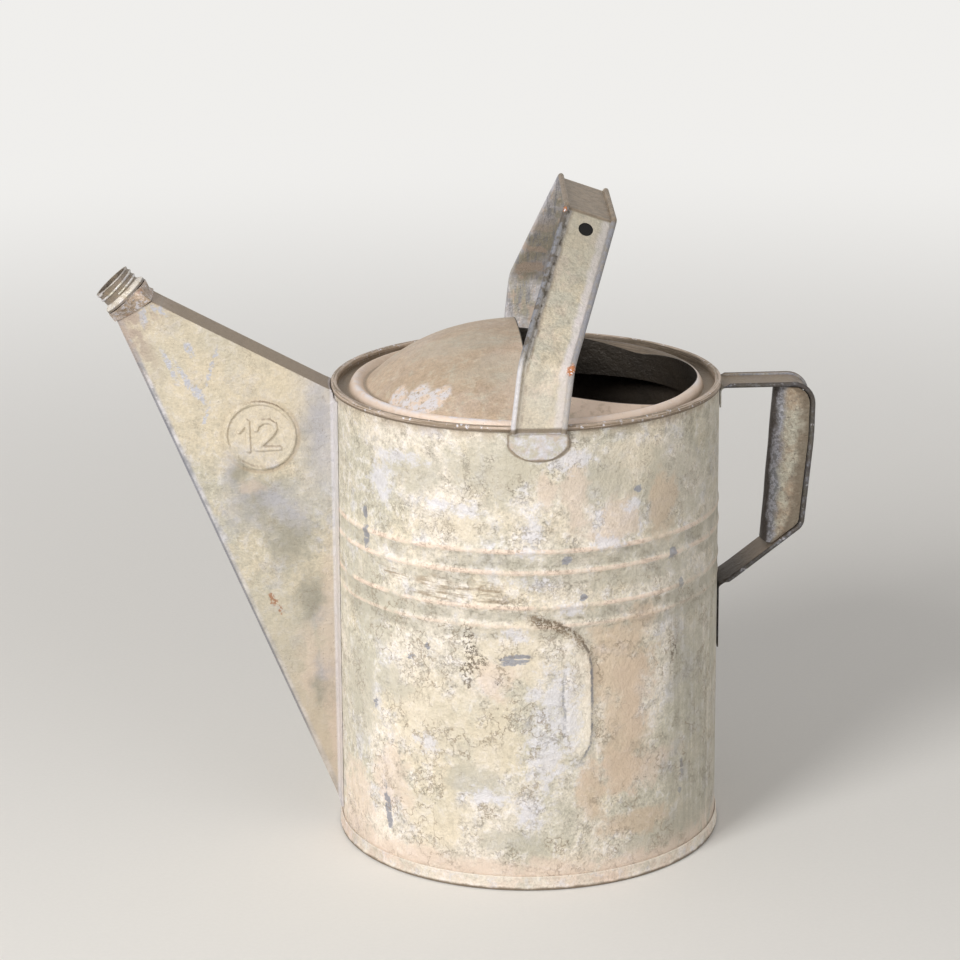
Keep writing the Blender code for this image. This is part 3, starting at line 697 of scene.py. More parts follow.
def turned(name, profile, material, segments=160, closed=False, **settings):
    """Turns (radius, height) points about the axis with geometry nodes; faces point outwards."""
    points = list(profile) + ([profile[0]] if closed else [])
    mesh = bpy.data.meshes.new(name)
    edges = [(index, index + 1) for index in range(len(points) - 1)]
    mesh.from_pydata([(radius, 0.0, height) for radius, height in points], edges, [])
    obj = put(name, mesh)
    tree = turning_tree()
    modifier = obj.modifiers.new("Turn", "NODES")
    modifier.node_group = tree
    values = {"Segments": segments, "Finish": material, **settings}
    for item in tree.interface.items_tree:
        if item.in_out == "INPUT" and item.name in values:
            modifier[item.identifier] = values[item.name]
    baked(obj)
    rework(obj.data, lambda bm: face_outwards(bm, closed))
    obj.data.transform(Matrix.Translation(AXIS))
    return obj


def arch(start, end, rise, steps):
    """Points of a rounded bead between two (radius, height) points, bulging to the left of the walk."""
    (radius, height), (across, up) = start, (end[0] - start[0], end[1] - start[1])
    run = math.hypot(across, up)
    points = []
    for step in range(steps + 1):
        share = step / steps
        swell = rise * math.sin(math.pi * share)
        points.append(
            (radius + across * share - up / run * swell, height + up * share + across / run * swell)
        )
    return points


def eased(corners, radius, steps=4):
    """Rounds the corners of a (radius, height) profile."""
    flat = [Vector((x, 0.0, z)) for x, z in corners]
    return [(point.x, point.z) for point in rounded_path(flat, [radius] * len(flat), steps)]


def loft(rings, closed=True, capped=True):
    """Skins rings that all have the same number of points."""
    bm = bmesh.new()
    rows = [[bm.verts.new(point) for point in ring] for ring in rings]
    count = len(rings[0])
    for row, following in zip(rows, rows[1:]):
        for index in range(count if closed else count - 1):
            after = (index + 1) % count
            bm.faces.new((row[index], row[after], following[after], following[index]))
    if capped:
        bm.faces.new(list(reversed(rows[0])))
        bm.faces.new(rows[-1])
    if closed:
        bmesh.ops.recalc_face_normals(bm, faces=bm.faces)
    return bm


def rounded_path(corners, radii, steps):
    """Walks through corner points, replacing each inner corner by an arc of its radius."""
    path = [corners[0]]
    for index in range(1, len(corners) - 1):
        before, corner, after = corners[index - 1], corners[index], corners[index + 1]
        back = (before - corner).normalized()
        ahead = (after - corner).normalized()
        half = back.angle(ahead) / 2
        if half > math.pi / 2 - 0.01:
            path.append(corner)
            continue
        run = radii[index] / math.tan(half)
        run = min(run, (before - corner).length * 0.48, (after - corner).length * 0.48)
        centre = corner + (back + ahead).normalized() * (run / math.cos(half))
        first = corner + back * run - centre
        last = corner + ahead * run - centre
        for step in range(steps + 1):
            spoke = first.normalized().slerp(last.normalized(), step / steps)
            path.append(centre + spoke * first.length)
    path.append(corners[-1])
    return path


def close_steps(path, step):
    """Adds points so that no stretch of the path is longer than a step."""
    result = [path[0]]
    for before, after in zip(path, path[1:]):
        pieces = max(1, math.ceil((after - before).length / step))
        result += [before.lerp(after, piece / pieces) for piece in range(1, pieces + 1)]
    return result


def tangents(path):
    """The walking direction at each point of a path."""
    result = []
    for index, point in enumerate(path):
        back = (point - path[max(index - 1, 0)]).normalized() if index else Vector()
        ahead = (path[index + 1] - point).normalized() if index < len(path) - 1 else Vector()
        result.append((back + ahead).normalized())
    return result


def strap_section(width, sheet, roll):
    """Outline of a strap whose edges are rolled up into round hems, as (across, outward) pairs."""
    spans, turns = 10, 12
    flat = width / 2 - 2 * roll
    across = [flat * (2 * step / spans - 1) for step in range(spans + 1)]
    hem = []
    for step in range(turns + 1):
        turn = math.radians(-90 + 285 * step / turns)
        hem.append((flat + roll + roll * math.cos(turn), roll - sheet / 2 + roll * math.sin(turn)))
    outline = [(place, -sheet / 2) for place in across] + hem
    outline += [(place, sheet / 2) for place in reversed(across)]
    return outline + [(-place, out) for place, out in reversed(hem)]


def hug(point, radius):
    """Pulls a point of a flat tab back on to a cylinder about the body's axis."""
    flat = Vector((point.x, point.y, 0.0)).normalized() * radius
    return Vector((flat.x, flat.y, point.z))


def ease(values, low, high):
    """Goes smoothly from 0 to 1 while the values go from low to high."""
    share = np.clip((values - low) / (high - low), 0.0, 1.0)
    return share * share * (3 - 2 * share)


def off_line(points, line):
    """How far flat points are from a line of strokes, on which side, and how far along it."""
    nearest = np.full(len(points), np.inf)
    side = np.zeros(len(points))
    along = np.zeros(len(points))
    corners = np.array(line, dtype=float)
    walked = 0.0
    for start, end in zip(corners, corners[1:]):
        run = end - start
        stroke = np.linalg.norm(run)
        share = np.clip(((points - start) @ run) / stroke**2, 0.0, 1.0)
        gap = points - (start + share[:, None] * run)
        distance = np.linalg.norm(gap, axis=1)
        closer = distance < nearest
        nearest = np.where(closer, distance, nearest)
        side = np.where(closer, np.sign(run[0] * gap[:, 1] - run[1] * gap[:, 0]), side)
        along = np.where(closer, walked + share * stroke, along)
        walked += stroke
    return nearest, side, along / walked


def reach(points, places):
    """How far flat points are from the nearest of some ellipses: 1 on its edge."""
    nearest = np.full(len(points), 9.0)
    for u, z, wide, tall, *turn in places:
        angle = math.radians(turn[0]) if turn else 0.0
        du, dz = points[:, 0] - u, points[:, 1] - z
        along = (du * math.cos(angle) + dz * math.sin(angle)) / wide
        across = (dz * math.cos(angle) - du * math.sin(angle)) / tall
        nearest = np.minimum(nearest, np.hypot(along, across))
    return nearest


def wave(rows, scale, seed=0):
    """Smooth noise from -1 to 1 at each point."""
    moved = Vector((seed, -seed, seed * 0.5))
    return np.array([noise.noise(Vector(row) * scale + moved) for row in rows])


# Shared rules of the frame's shapes


def wall_radius():
    """The wall's outside, with the clearance of a soldered piece."""
    return sizes().body_radius + GAP


def rim_radius():
    """Outside of the hood's folded rim."""
    return wall_radius() + SHEET


def channel_radius():
    """Inside of the channel next to the rim."""
    return rim_radius() - RIM_FOLD - CHANNEL


def dome_radius():
    """Where the dome meets the groove inside the ring moulding."""
    return channel_radius() - MOULDING - GROOVE


def skirt_foot():
    """Where the hood's folded rim ends on the wall."""
    return sizes().rim_height - RIM_SKIRT


def bead_swell(height):
    """How far the wall stands out at a height."""
    s = sizes()
    for drop, share in zip(BEAD_DROPS, BEAD_SHARES):
        off = (height - s.rim_height + drop) / BEAD_HALF_WIDTH
        if abs(off) < 1:
            return s.bead_rise * share * (0.5 + 0.5 * math.cos(math.pi * off))
    return 0.0


def spout_line(share):
    """Middle of the wedge's top face and of its lower seam, a share of the way to the tip."""
    s = sizes()
    tip = Vector((-s.body_radius - s.spout_length, 0, s.rim_height + s.spout_rise))
    top = Vector((-rim_radius() - GAP, 0, s.rim_height - WEDGE_DROP)).lerp(tip, share)
    low_tip = tip + Vector(SEAM_TIP)
    seam = Vector((-wall_radius() - SHEET, 0, SEAM_FOOT)).lerp(low_tip, share)
    return top, seam


def spout_half(climb):
    """Half the wedge's width, a share of the way from its seam to its top."""
    return (SEAM_WIDTH + (sizes().spout_top - SEAM_WIDTH) * climb) / 2


def spout_ring(share, near, far, spans=10):
    """A section of the wedge: up the near side, over the top and down the far side."""
    top, seam = spout_line(share)
    side = [seam.lerp(top, climb) - Vector((0, spout_half(climb), 0)) for climb in near]
    width = sizes().spout_top
    across = [top + Vector((0, width * (step / spans - 0.5), 0)) for step in range(1, spans)]
    back = [seam.lerp(top, climb) + Vector((0, spout_half(climb), 0)) for climb in reversed(far)]
    return side + across + back


def body_clearance(height):
    """The radius that the wedge's sheet keeps at a height: clear of heel and rim."""
    if height > skirt_foot() - GAP:
        return rim_radius() + 2 * GAP
    return wall_radius() + SHEET + (0.0005 if height < SEAM_FOOT + GAP else 0.0)


def collar_frame():
    """Places +Z along the collar's axis, with its flange's lower face at the origin."""
    foot = spout_line(1.0)[0] + Vector(COLLAR_FOOT)
    return Matrix.Translation(foot) @ Matrix.Rotation(math.radians(COLLAR_LEAN - 90), 4, "Y")


def bail_tilt(height):
    """How far the strap's cross direction tips down to the back, at a height."""
    rise = height - sizes().rim_height
    at_kink, above = BAIL_TILT
    if rise < BAIL_KINK:
        return math.radians(at_kink) * max(0.0, rise / BAIL_KINK)
    return math.radians(at_kink + above * min(1.0, (rise - BAIL_KINK) / BAIL_CLIMB))


def bail_corners():
    """Corners of the near half of the carrying strap's middle line, from its tab up, and their radii."""
    rim = sizes().rim_height
    stand_off = rim_radius() + GAP + HALF_STRAP
    corners = [
        Vector((BAIL_X, -stand_off, skirt_foot() - 0.0004)),
        Vector((0.0086, -stand_off, rim + BAIL_KINK)),
        Vector((0.0368, -0.0470, rim + 0.1083)),
    ]
    return corners, [0.0, 0.0120, 0.0045]


def bail_tab(section, side):
    """Rings of a flattened end on the wall, from its rounded foot up to the step over the rim."""
    rim, half, drop = sizes().rim_height, TAB_HALF, TAB_ROUND
    arc = (half * half + drop * drop) / (2 * drop)
    shares = (0.004, 0.02, 0.05, 0.1, 0.18, 0.3, 0.42, 0.55, 0.7, 0.85, 1.0)
    climbs = [drop * share for share in shares]
    pairs = [(rim - TAB_FOOT + climb, math.sqrt(arc**2 - (arc - climb) ** 2)) for climb in climbs]
    pairs += [(rim - 0.0095, half), (rim - 0.0070, half), (skirt_foot() - 0.0016, half)]
    rings = []
    for height, width in pairs:
        ring = []
        for across, out in section:
            out = min(max(out, -HALF_STRAP), HALF_STRAP)
            sideways = BAIL_X + across / (sizes().bail_width / 2) * width
            point = Vector((sideways, side * sizes().body_radius, height))
            ring.append(hug(point, wall_radius() + HALF_STRAP + out))
        rings.append(ring)
    return rings


def handle_path():
    """The back handle's middle line, from the foot of its upper tab to its lower one."""
    s = sizes()
    wall = wall_radius() + HALF_STRAP
    arm = s.rim_height - ARM_DROP
    out = s.body_radius + GRIP_OUT
    corners = [
        Vector((x, 0, arm - drop))
        for x, drop in (
            (wall, 0.0123), (wall, 0.0), (out, 0.0), (out - 0.0006, 0.0323),
            (out - 0.0058, 0.0881), (wall, 0.1265), (wall, 0.1663),
        )
    ]
    path = rounded_path(corners, [0, 0.0030, 0.0115, 0.15, 0.0070, 0.0030, 0], 8)
    return close_steps(path, 0.0025)


# Pieces


def unrolled(mesh):
    """The wall's points, how far round they are, and that and their height in millimetres."""
    rows = places_of(mesh)
    turn = np.arctan2(rows[:, 0], -rows[:, 1])
    return rows, turn, np.column_stack((turn * sizes().body_radius, rows[:, 2])) * MM


def wall_push(rows, turn, flat):
    """How far each of the wall's points moves out: faded beads, waves, the fold and the dents."""
    s = sizes()
    calm = ease(flat[:, 1], 14, 30) * (1 - ease(flat[:, 1], 246, 262))
    calm *= ease(np.abs(np.abs(turn) - math.pi / 2), math.radians(8), math.radians(17))
    swell = np.hypot(rows[:, 0], rows[:, 1]) - s.body_radius
    sides = ease(np.abs(turn + math.pi / 2), math.radians(14), math.radians(24))
    sides *= 0.45 + 0.55 * ease(np.abs(turn - math.pi / 2), math.radians(5), math.radians(40))
    push = (sides - 1) * swell
    push += s.dent_depth * (wave(rows, 22) + 0.5 * wave(rows, 55, 7) + 0.22 * wave(rows, 130, 3)) * calm
    distance, side, along = off_line(flat, CREASE)
    inner = np.exp(-distance / 9.0)
    outer = np.exp(-distance / 1.8)
    hollow = np.where(side < 0, 0.0, np.exp(-(((distance - 5.0) / 3.5) ** 2)))
    run = ease(along, 0.0, 0.10) * (1 - ease(along, 0.86, 1.0))
    push += s.crease_rise * run * (np.where(side < 0, inner, outer) - 0.35 * hollow)
    twin, _, _ = off_line(flat, CREASE_TWIN)
    push -= 0.0006 * np.exp(-((twin / 1.4) ** 2))
    for u, z, wide, tall, depth in WALL_DENTS:
        push -= depth * calm * np.exp(-(((flat[:, 0] - u) / wide) ** 2) - ((flat[:, 1] - z) / tall) ** 2)
    return push


def build_wall():
    """The rolled wall: beads turned with it, then the waves, the fold and the water holes."""
    s = sizes()
    top, foot = s.rim_height - SHEET - GAP, 0.0013
    heights = [foot + (top - foot) * step / 128 for step in range(129)]
    for drop in BEAD_DROPS:
        middle = s.rim_height - drop
        heights = [height for height in heights if abs(height - middle) > BEAD_HALF_WIDTH * 1.1]
        heights += [middle + BEAD_HALF_WIDTH * step / 5 for step in range(-5, 6)]
    profile = [(s.body_radius + bead_swell(height), height) for height in sorted(heights, reverse=True)]
    finish = wall_finish()
    wall = turned("body_wall", profile, finish, 264, Packing=0.5)
    rows, turn, flat = unrolled(wall.data)
    outward = np.column_stack((np.sin(turn), -np.cos(turn), np.zeros(len(rows))))
    move_points(wall.data, rows + outward * wall_push(rows, turn, flat)[:, None])
    thicken(wall, SHEET)
    drills = bmesh.new()
    spacing = (s.rim_height - HIGHEST_HOLE_DROP - LOWEST_HOLE) / (WATER_HOLES - 1)
    for index in range(WATER_HOLES):
        height = LOWEST_HOLE + spacing * index
        radius = 0.55 * spout_half((height - SEAM_FOOT) / (s.rim_height - WEDGE_DROP - SEAM_FOOT))
        place = Matrix.Translation((-s.body_radius, 0.0, height)) @ Matrix.Rotation(math.pi / 2, 4, "Y")
        add_plug(drills, 24, radius, 0.02, Matrix.Translation(AXIS) @ place)
    carve(wall, put("drills", to_mesh("drills", drills)))
    rows, _, flat = unrolled(wall.data)
    distance, side, along = off_line(flat, CREASE)
    keep(wall.data, "fold", np.where(along < 0.999, distance, distance + 3) * np.where(side < 0, -1, 1))
    keep(wall.data, "fold_run", along)
    keep(wall.data, "twin", off_line(flat, CREASE_TWIN)[0])
    level = np.array([bead_swell(height) for height in rows[:, 2]]) / s.bead_rise
    keep(wall.data, "bead", level)
    for name, places in WALL_MARKS.items():
        keep(wall.data, name, reach(flat, places))
    return finish_piece(wall, finish, "body_shell")


def build_foot():
    """The foot hoop, folded in under the wall."""
    out = rim_radius()
    corners = [
        (out - 0.0008, 0.0088), (out - 0.0002, 0.0088), (out, 0.0082), (out, 0.0032),
        (out + 0.0006, 0.0018), (out + 0.0004, 0.0004), (out - 0.0005, 0.0),
        (out - 0.0050, 0.0), (out - 0.0050, SHEET),
        (out - SHEET - GAP, SHEET), (out - SHEET, 0.0013), (out - SHEET, 0.0086),
    ]
    finish = foot_finish()
    hoop = turned("foot_band", eased(corners, 0.0002, 2), finish, 256, closed=True, Packing=0.3)
    return finish_piece(hoop, finish, "foot_hoop", 50)


def hood_profile():
    """The hood's upper surface from the top of the dome to the foot of the folded rim."""
    s = sizes()
    rim_out, rim_in = rim_radius(), rim_radius() - RIM_FOLD
    floor, groove = s.rim_height - 0.0055, s.rim_height - 0.0032
    points = []
    for step in range(33):
        radius = dome_radius() * (1 - (1 - step / 32) ** 1.5)
        points.append((radius, groove + s.dome_rise * (1 - (radius / dome_radius()) ** 2.8)))
    ring_in = channel_radius() - MOULDING
    points += arch((ring_in, groove), (channel_radius(), floor), 0.0042, 14)
    points += [(rim_in - 0.0005, floor), (rim_in - 0.00015, floor + 0.00015), (rim_in, floor + 0.0005)]
    for step in range(9):
        turn = math.pi * step / 8
        crown = s.rim_height - 0.0012 + 0.0012 * math.sin(turn)
        points.append(((rim_in + rim_out) / 2 - RIM_FOLD / 2 * math.cos(turn), crown))
    points += [(rim_out, skirt_foot() + 0.0012), (rim_out, skirt_foot())]
    return points


def mouth_slug(name, radius, low, high, straight_edge=True):
    """A slug with the filling mouth's outline: a circle, cut straight along the dome's free edge."""
    bm = bmesh.new()
    offset = channel_radius() - MOUTH_EDGE - sizes().mouth_radius
    add_plug(bm, 160, radius, high - low, Matrix.Translation((offset, 0.0, (low + high) / 2)))
    if straight_edge:
        parts = bm.verts[:] + bm.edges[:] + bm.faces[:]
        cut = bmesh.ops.bisect_plane(
            bm, geom=parts, plane_co=(FREE_EDGE, 0, 0), plane_no=(-1, 0, 0), clear_outer=True
        )
        edges = [item for item in cut["geom_cut"] if isinstance(item, bmesh.types.BMEdge)]
        bmesh.ops.contextual_create(bm, geom=edges)
        bmesh.ops.recalc_face_normals(bm, faces=bm.faces)
    return placed(name, bm)


def build_hood():
    """The hood pressing, cut away over the filling mouth, whose curved edge is turned down."""
    s = sizes()
    low, high = s.rim_height - 0.02, s.rim_height + s.dome_rise + 0.02
    finish = hood_finish()
    profile = hood_profile()
    under = [(radius, height - SHEET / 2) for radius, height in profile if radius <= channel_radius()]
    band = thicken(turned("flange_band", under, finish, 160), 0.0050)
    flange = mouth_slug("mouth_flange", s.mouth_radius + 0.0008, low, high)
    carve(flange, mouth_slug("mouth_bore", s.mouth_radius, low - 0.01, high + 0.01, straight_edge=False))
    carve(flange, band, "INTERSECT")
    hood = thicken(turned("hood_pressing", profile, finish, 160), SHEET)
    carve(hood, mouth_slug("mouth_slug", s.mouth_radius, low, high))
    carve(hood, flange, "UNION")
    return finish_piece(hood, finish, "hood")


def build_spout():
    """The folded wedge, with its flanges, its shallow dent and the raised capacity number."""
    s = sizes()
    top_z = s.rim_height - WEDGE_DROP
    beads = sorted(
        s.rim_height - drop + BEAD_HALF_WIDTH * step / 4 for drop in BEAD_DROPS for step in range(-4, 5)
    )
    shared = [SEAM_FOOT, SEAM_FOOT + 0.0004]
    shared += [SEAM_FOOT + (beads[0] - SEAM_FOOT) * step / 14 for step in range(1, 14)] + beads
    flange_top = s.rim_height - 0.0072
    shared += [beads[-1] + (flange_top - beads[-1]) * step / 12 for step in range(1, 13)]
    shared += [skirt_foot() - 2 * GAP, skirt_foot(), top_z]
    far = [(height - SEAM_FOOT) / (top_z - SEAM_FOOT) for height in shared]
    near = sorted(set(far + [0.52 + 0.38 * step / 116 for step in range(117)]))
    near = [near[0]] + [b for a, b in zip(near, near[1:]) if b - a > 0.0004]
    ring = spout_ring(0.0, near, far)
    root = [hug(point, body_clearance(point.z)) for point in ring]
    shares = [0.03, 0.07, 0.12, 0.17] + [0.185 + 0.42 * step / 96 for step in range(97)]
    shares += [0.64, 0.69, 0.74, 0.8, 0.86, 0.91, 0.95, 0.98, 1.0]
    bm = loft([root] + [spout_ring(share, near, far) for share in shares], capped=False)
    bm.verts.ensure_lookup_table()
    turn = FLANGE_REACH / s.body_radius
    sides = ((bm.verts[: len(near) - 3], 1), (bm.verts[len(root) - len(far) + 3 : len(root)], -1))
    for row, side in sides:
        rows = [row] + [
            [bm.verts.new(Matrix.Rotation(side * turn * step / 4, 3, "Z") @ vert.co) for vert in row]
            for step in range(1, 5)
        ]
        for inner, outer in zip(rows, rows[1:]):
            for index in range(len(row) - 1):
                bm.faces.new((inner[index], inner[index + 1], outer[index + 1], outer[index]))
    bmesh.ops.recalc_face_normals(bm, faces=bm.faces)
    spout = placed("spout_wedge", bm)
    rows = places_of(spout.data)
    flat = (rows[:, (0, 2)] - (BADGE_X, BADGE_Z)) * MM
    facing = ease(-rows[:, 1], 0.0012, 0.0022) * (rows[:, 0] < -WEDGE_ROOT)
    ring_gap = np.abs(np.hypot(flat[:, 0], flat[:, 1]) - s.badge_radius * MM)
    strokes = np.minimum(off_line(flat, ONE)[0], off_line(flat, TWO)[0])
    rise = s.badge_rise * np.maximum(1 - ease(ring_gap, 0.6, 1.7), 1 - ease(strokes, 0.9, 1.9))
    inset = ease(-rows[:, 0], WEDGE_ROOT, 0.132) * (1 - ease(-rows[:, 0], 0.196, 0.206))
    rise -= 0.0016 * inset * np.exp(-((flat[:, 0] / 20) ** 2) - ((flat[:, 1] + 38) / 15) ** 2)
    rise += 0.0006 * inset * wave(rows, 24, 5) * ease(rows[:, 2], 0.03, 0.06)
    near_face = facing * (np.abs(rows[:, 1]) < 0.0149)
    rows[:, 1] -= rise * near_face
    move_points(spout.data, rows)
    thicken(spout, SHEET)
    return finish_piece(spout, spout_finish(), "spout_shell", 30)


def build_neck():
    """The sleeve from the wedge's three-cornered end to the collar's round foot."""
    climbs = [step / 16 for step in range(17)]
    top, seam = spout_line(1.0)
    along = (top - spout_line(0.9)[0]).normalized()
    start = [point + along * 2 * GAP for point in spout_ring(1.0, climbs, climbs, 12)]
    middle = top.lerp(seam, 0.42)
    place = collar_frame()
    axis = place.to_3x3() @ Vector((0, 0, 1))
    down = place.to_3x3() @ Vector((-1, 0, 0))
    centre = place.translation - axis * 2 * GAP
    radius = sizes().collar_radius + COLLAR_FLANGE - 0.0005
    end = []
    for point in start:
        spread = point - middle
        turn = math.atan2(spread.y, spread.dot((seam - top).normalized()))
        end.append(centre + (down * math.cos(turn) + Vector((0, math.sin(turn), 0))) * radius)
    rings = [[a.lerp(b, step / 24) for a, b in zip(start, end)] for step in range(25)]
    neck = thicken(placed("spout_neck_sleeve", loft(rings, capped=False)), SHEET)
    return finish_piece(neck, neck_finish(), "spout_neck", 50)


def build_collar():
    """The turned collar and its thread, a ridge that geometry nodes wind nearly twice round it."""
    s = sizes()
    radius, top = s.collar_radius, COLLAR_HEIGHT
    bore, lip, flange = radius - 0.0014, radius + 0.0004, radius + COLLAR_FLANGE
    corners = [
        (bore, 0.0), (bore, top), (lip, top), (lip, top - 0.0006), (radius, top - 0.0012),
        (radius, 0.0038), (flange, 0.0016), (flange, 0.0),
    ]
    finish = collar_finish()
    collar = turned("spout_collar_thread", eased(corners, 0.00018, 3), finish, 96, closed=True)
    half = [(-0.0005, 0.0012), (-0.0001, 0.0010), (s.thread_rise * 0.75, 0.00045)]
    ridge = [(radius + out, -up) for out, up in half] + [(radius + s.thread_rise, 0.0)]
    ridge += [(radius + out, up) for out, up in reversed(half)]
    winding = {"Turns": THREAD_TURNS, "Pitch": THREAD_PITCH}
    thread = turned("thread_ridge", ridge, finish, 176, closed=True, **winding)
    rework(thread.data, lambda bm: bmesh.ops.holes_fill(bm, edges=bm.edges, sides=0))
    rework(thread.data, lambda bm: bmesh.ops.recalc_face_normals(bm, faces=bm.faces))
    thread.data.transform(Matrix.Translation((0, 0, THREAD_START)))
    rework(collar.data, lambda bm: bm.from_mesh(thread.data))
    bpy.data.objects.remove(thread)
    collar.data.transform(Matrix.Translation(AXIS) @ collar_frame() @ Matrix.Translation(-AXIS))
    return finish_piece(collar, finish, "spout_collar", 50)


def lay_along(mesh, rings, section):
    """Keeps on each point its place on a strap: across, along and outward, in millimetres."""
    tree = KDTree(sum(len(ring) for ring in rings))
    values = []
    walked = 0.0
    before = None
    for ring in rings:
        middle = sum(ring, Vector()) / len(ring)
        walked += (middle - before).length * MM if before else 0.0
        before = middle
        for point, (across, out) in zip(ring, section):
            tree.insert(point + AXIS, len(values))
            values.append((across * MM, walked, out * MM))
    tree.balance()
    found = [values[tree.find(vertex.co)[1]] for vertex in mesh.vertices]
    keep(mesh, "lay", np.array(found))


def knock(sideways, low):
    """How deep the carrying strap's near leg is knocked in, at a height over the rim."""
    dent = 0.0011 * math.exp(-(((sideways + 0.0010) / 0.0032) ** 2) - ((low - 0.026) / 0.0085) ** 2)
    return dent - 0.0005 * math.exp(-(((sideways - 0.006) / 0.004) ** 2) - ((low - 0.020) / 0.012) ** 2)


def build_bail():
    """The carrying strap with rolled edges, its flattened tabs, its hole and its knocks."""
    s = sizes()
    section = strap_section(s.bail_width, STRAP_SHEET, s.bail_roll)
    corners, radii = bail_corners()
    corners += [Vector((point.x, -point.y, point.z)) for point in reversed(corners)]
    path = close_steps(rounded_path(corners, radii + radii[::-1], 10), 0.0022)
    rings = bail_tab(section, -1)
    yaw = Matrix.Rotation(math.radians(BAIL_TURN), 3, "Z")
    for centre, along in zip(path, tangents(path)):
        tilt = bail_tilt(centre.z)
        across = Vector((math.cos(tilt), 0.0, -math.sin(tilt)))
        outward = across.cross(along).normalized()
        ring = []
        for sideways, out in section:
            inwards = knock(sideways, centre.z - s.rim_height) if centre.y < 0 else 0.0
            ring.append(centre + across * sideways + outward * (out - inwards))
        rings.append(ring)
    rings += list(reversed(bail_tab(section, 1)))
    rings = [[yaw @ point for point in ring] for ring in rings]
    bail = placed("carrying_strap", loft(rings))
    kink, top = corners[1], corners[2]
    down = (kink - top).normalized()
    tilt = math.radians(sum(BAIL_TILT))
    outward = down.cross(Vector((math.cos(tilt), 0.0, -math.sin(tilt)))).normalized()
    place = Matrix.Translation(AXIS) @ yaw.to_4x4() @ Matrix.Translation(top + down * HOLE_DROP)
    place = place @ outward.to_track_quat("Z", "Y").to_matrix().to_4x4()
    # Drilled from both sides, leaving a thin web in the hole that is painted black as shade.
    for side in (-1, 1):
        drill = bmesh.new()
        depth = 0.012
        sunk = place @ Matrix.Translation((0.0, 0.0, side * (depth + HOLE_SHADE_WEB) / 2))
        add_plug(drill, 40, HOLE_RADIUS, depth, sunk)
        carve(bail, put("drill", to_mesh("drill", drill)))
    lay_along(bail.data, rings, section)
    from_hole = places_of(bail.data) - np.array(place.translation - AXIS)
    keep(bail.data, "hole", np.linalg.norm(from_hole, axis=1) * MM)
    return finish_piece(bail, bail_finish(), "bail_strap", 45)


def build_handle():
    """The pouring handle: a strap with rolled edges and a tab at each end."""
    s = sizes()
    section = strap_section(s.handle_width, STRAP_SHEET, s.handle_roll)
    wall = wall_radius() + HALF_STRAP
    across = Vector((0, -1, 0))
    path = handle_path()
    rings = []
    for centre, along in zip(path, tangents(path)):
        outward = across.cross(along)
        away = (centre.x - wall) / 0.0030
        ring = []
        for sideways, out in section:
            if away < 1.05:
                out = min(max(out, -HALF_STRAP), HALF_STRAP)
            point = centre + across * sideways + outward * out
            point.x -= (wall - math.sqrt(wall**2 - sideways**2)) * max(0.0, 1 - max(away, 0.0) / 3)
            ring.append(point)
        rings.append(ring)
    handle = placed("pouring_handle", loft(rings))
    lay_along(handle.data, rings, section)
    return finish_piece(handle, handle_finish(), "handle_strap", 45)


def build_sheath():
    """The half-round trough inside the grip."""
    s = sizes()
    path = handle_path()
    (top, foot), (high, low) = SHEATH_ENDS, SHEATH_CRESTS
    rings = []
    for row in range(41):
        share = row / 40
        height = s.rim_height - ARM_DROP - (top + (foot - top) * share)
        crest = s.body_radius + GRIP_OUT - (high + (low - high) * share)
        back = path[-1].x
        for before, after in zip(path, path[1:]):
            if after.z <= height < before.z:
                slope = (after - before).normalized()
                part = (before.z - height) / (before.z - after.z)
                back = before.x + (after.x - before.x) * part
                back -= (HALF_STRAP + 2 * GAP) / max(abs(slope.z), 0.2)
                break
        ring = []
        for column in range(33):
            turn = math.pi * column / 32
            bulge = 0.0001 * math.sin(turn) * math.sin(height * 190)
            deep = back - (back - crest - bulge) * math.sin(turn)
            ring.append(Vector((deep, -s.sheath_width / 2 * math.cos(turn), height)))
        rings.append(ring)
    trough = placed("grip_trough", loft(rings, closed=False, capped=False))
    sheath = thicken(trough, SHEATH_SHEET)
    return finish_piece(sheath, sheath_finish(), "grip_sheath", 45)


# Finishes


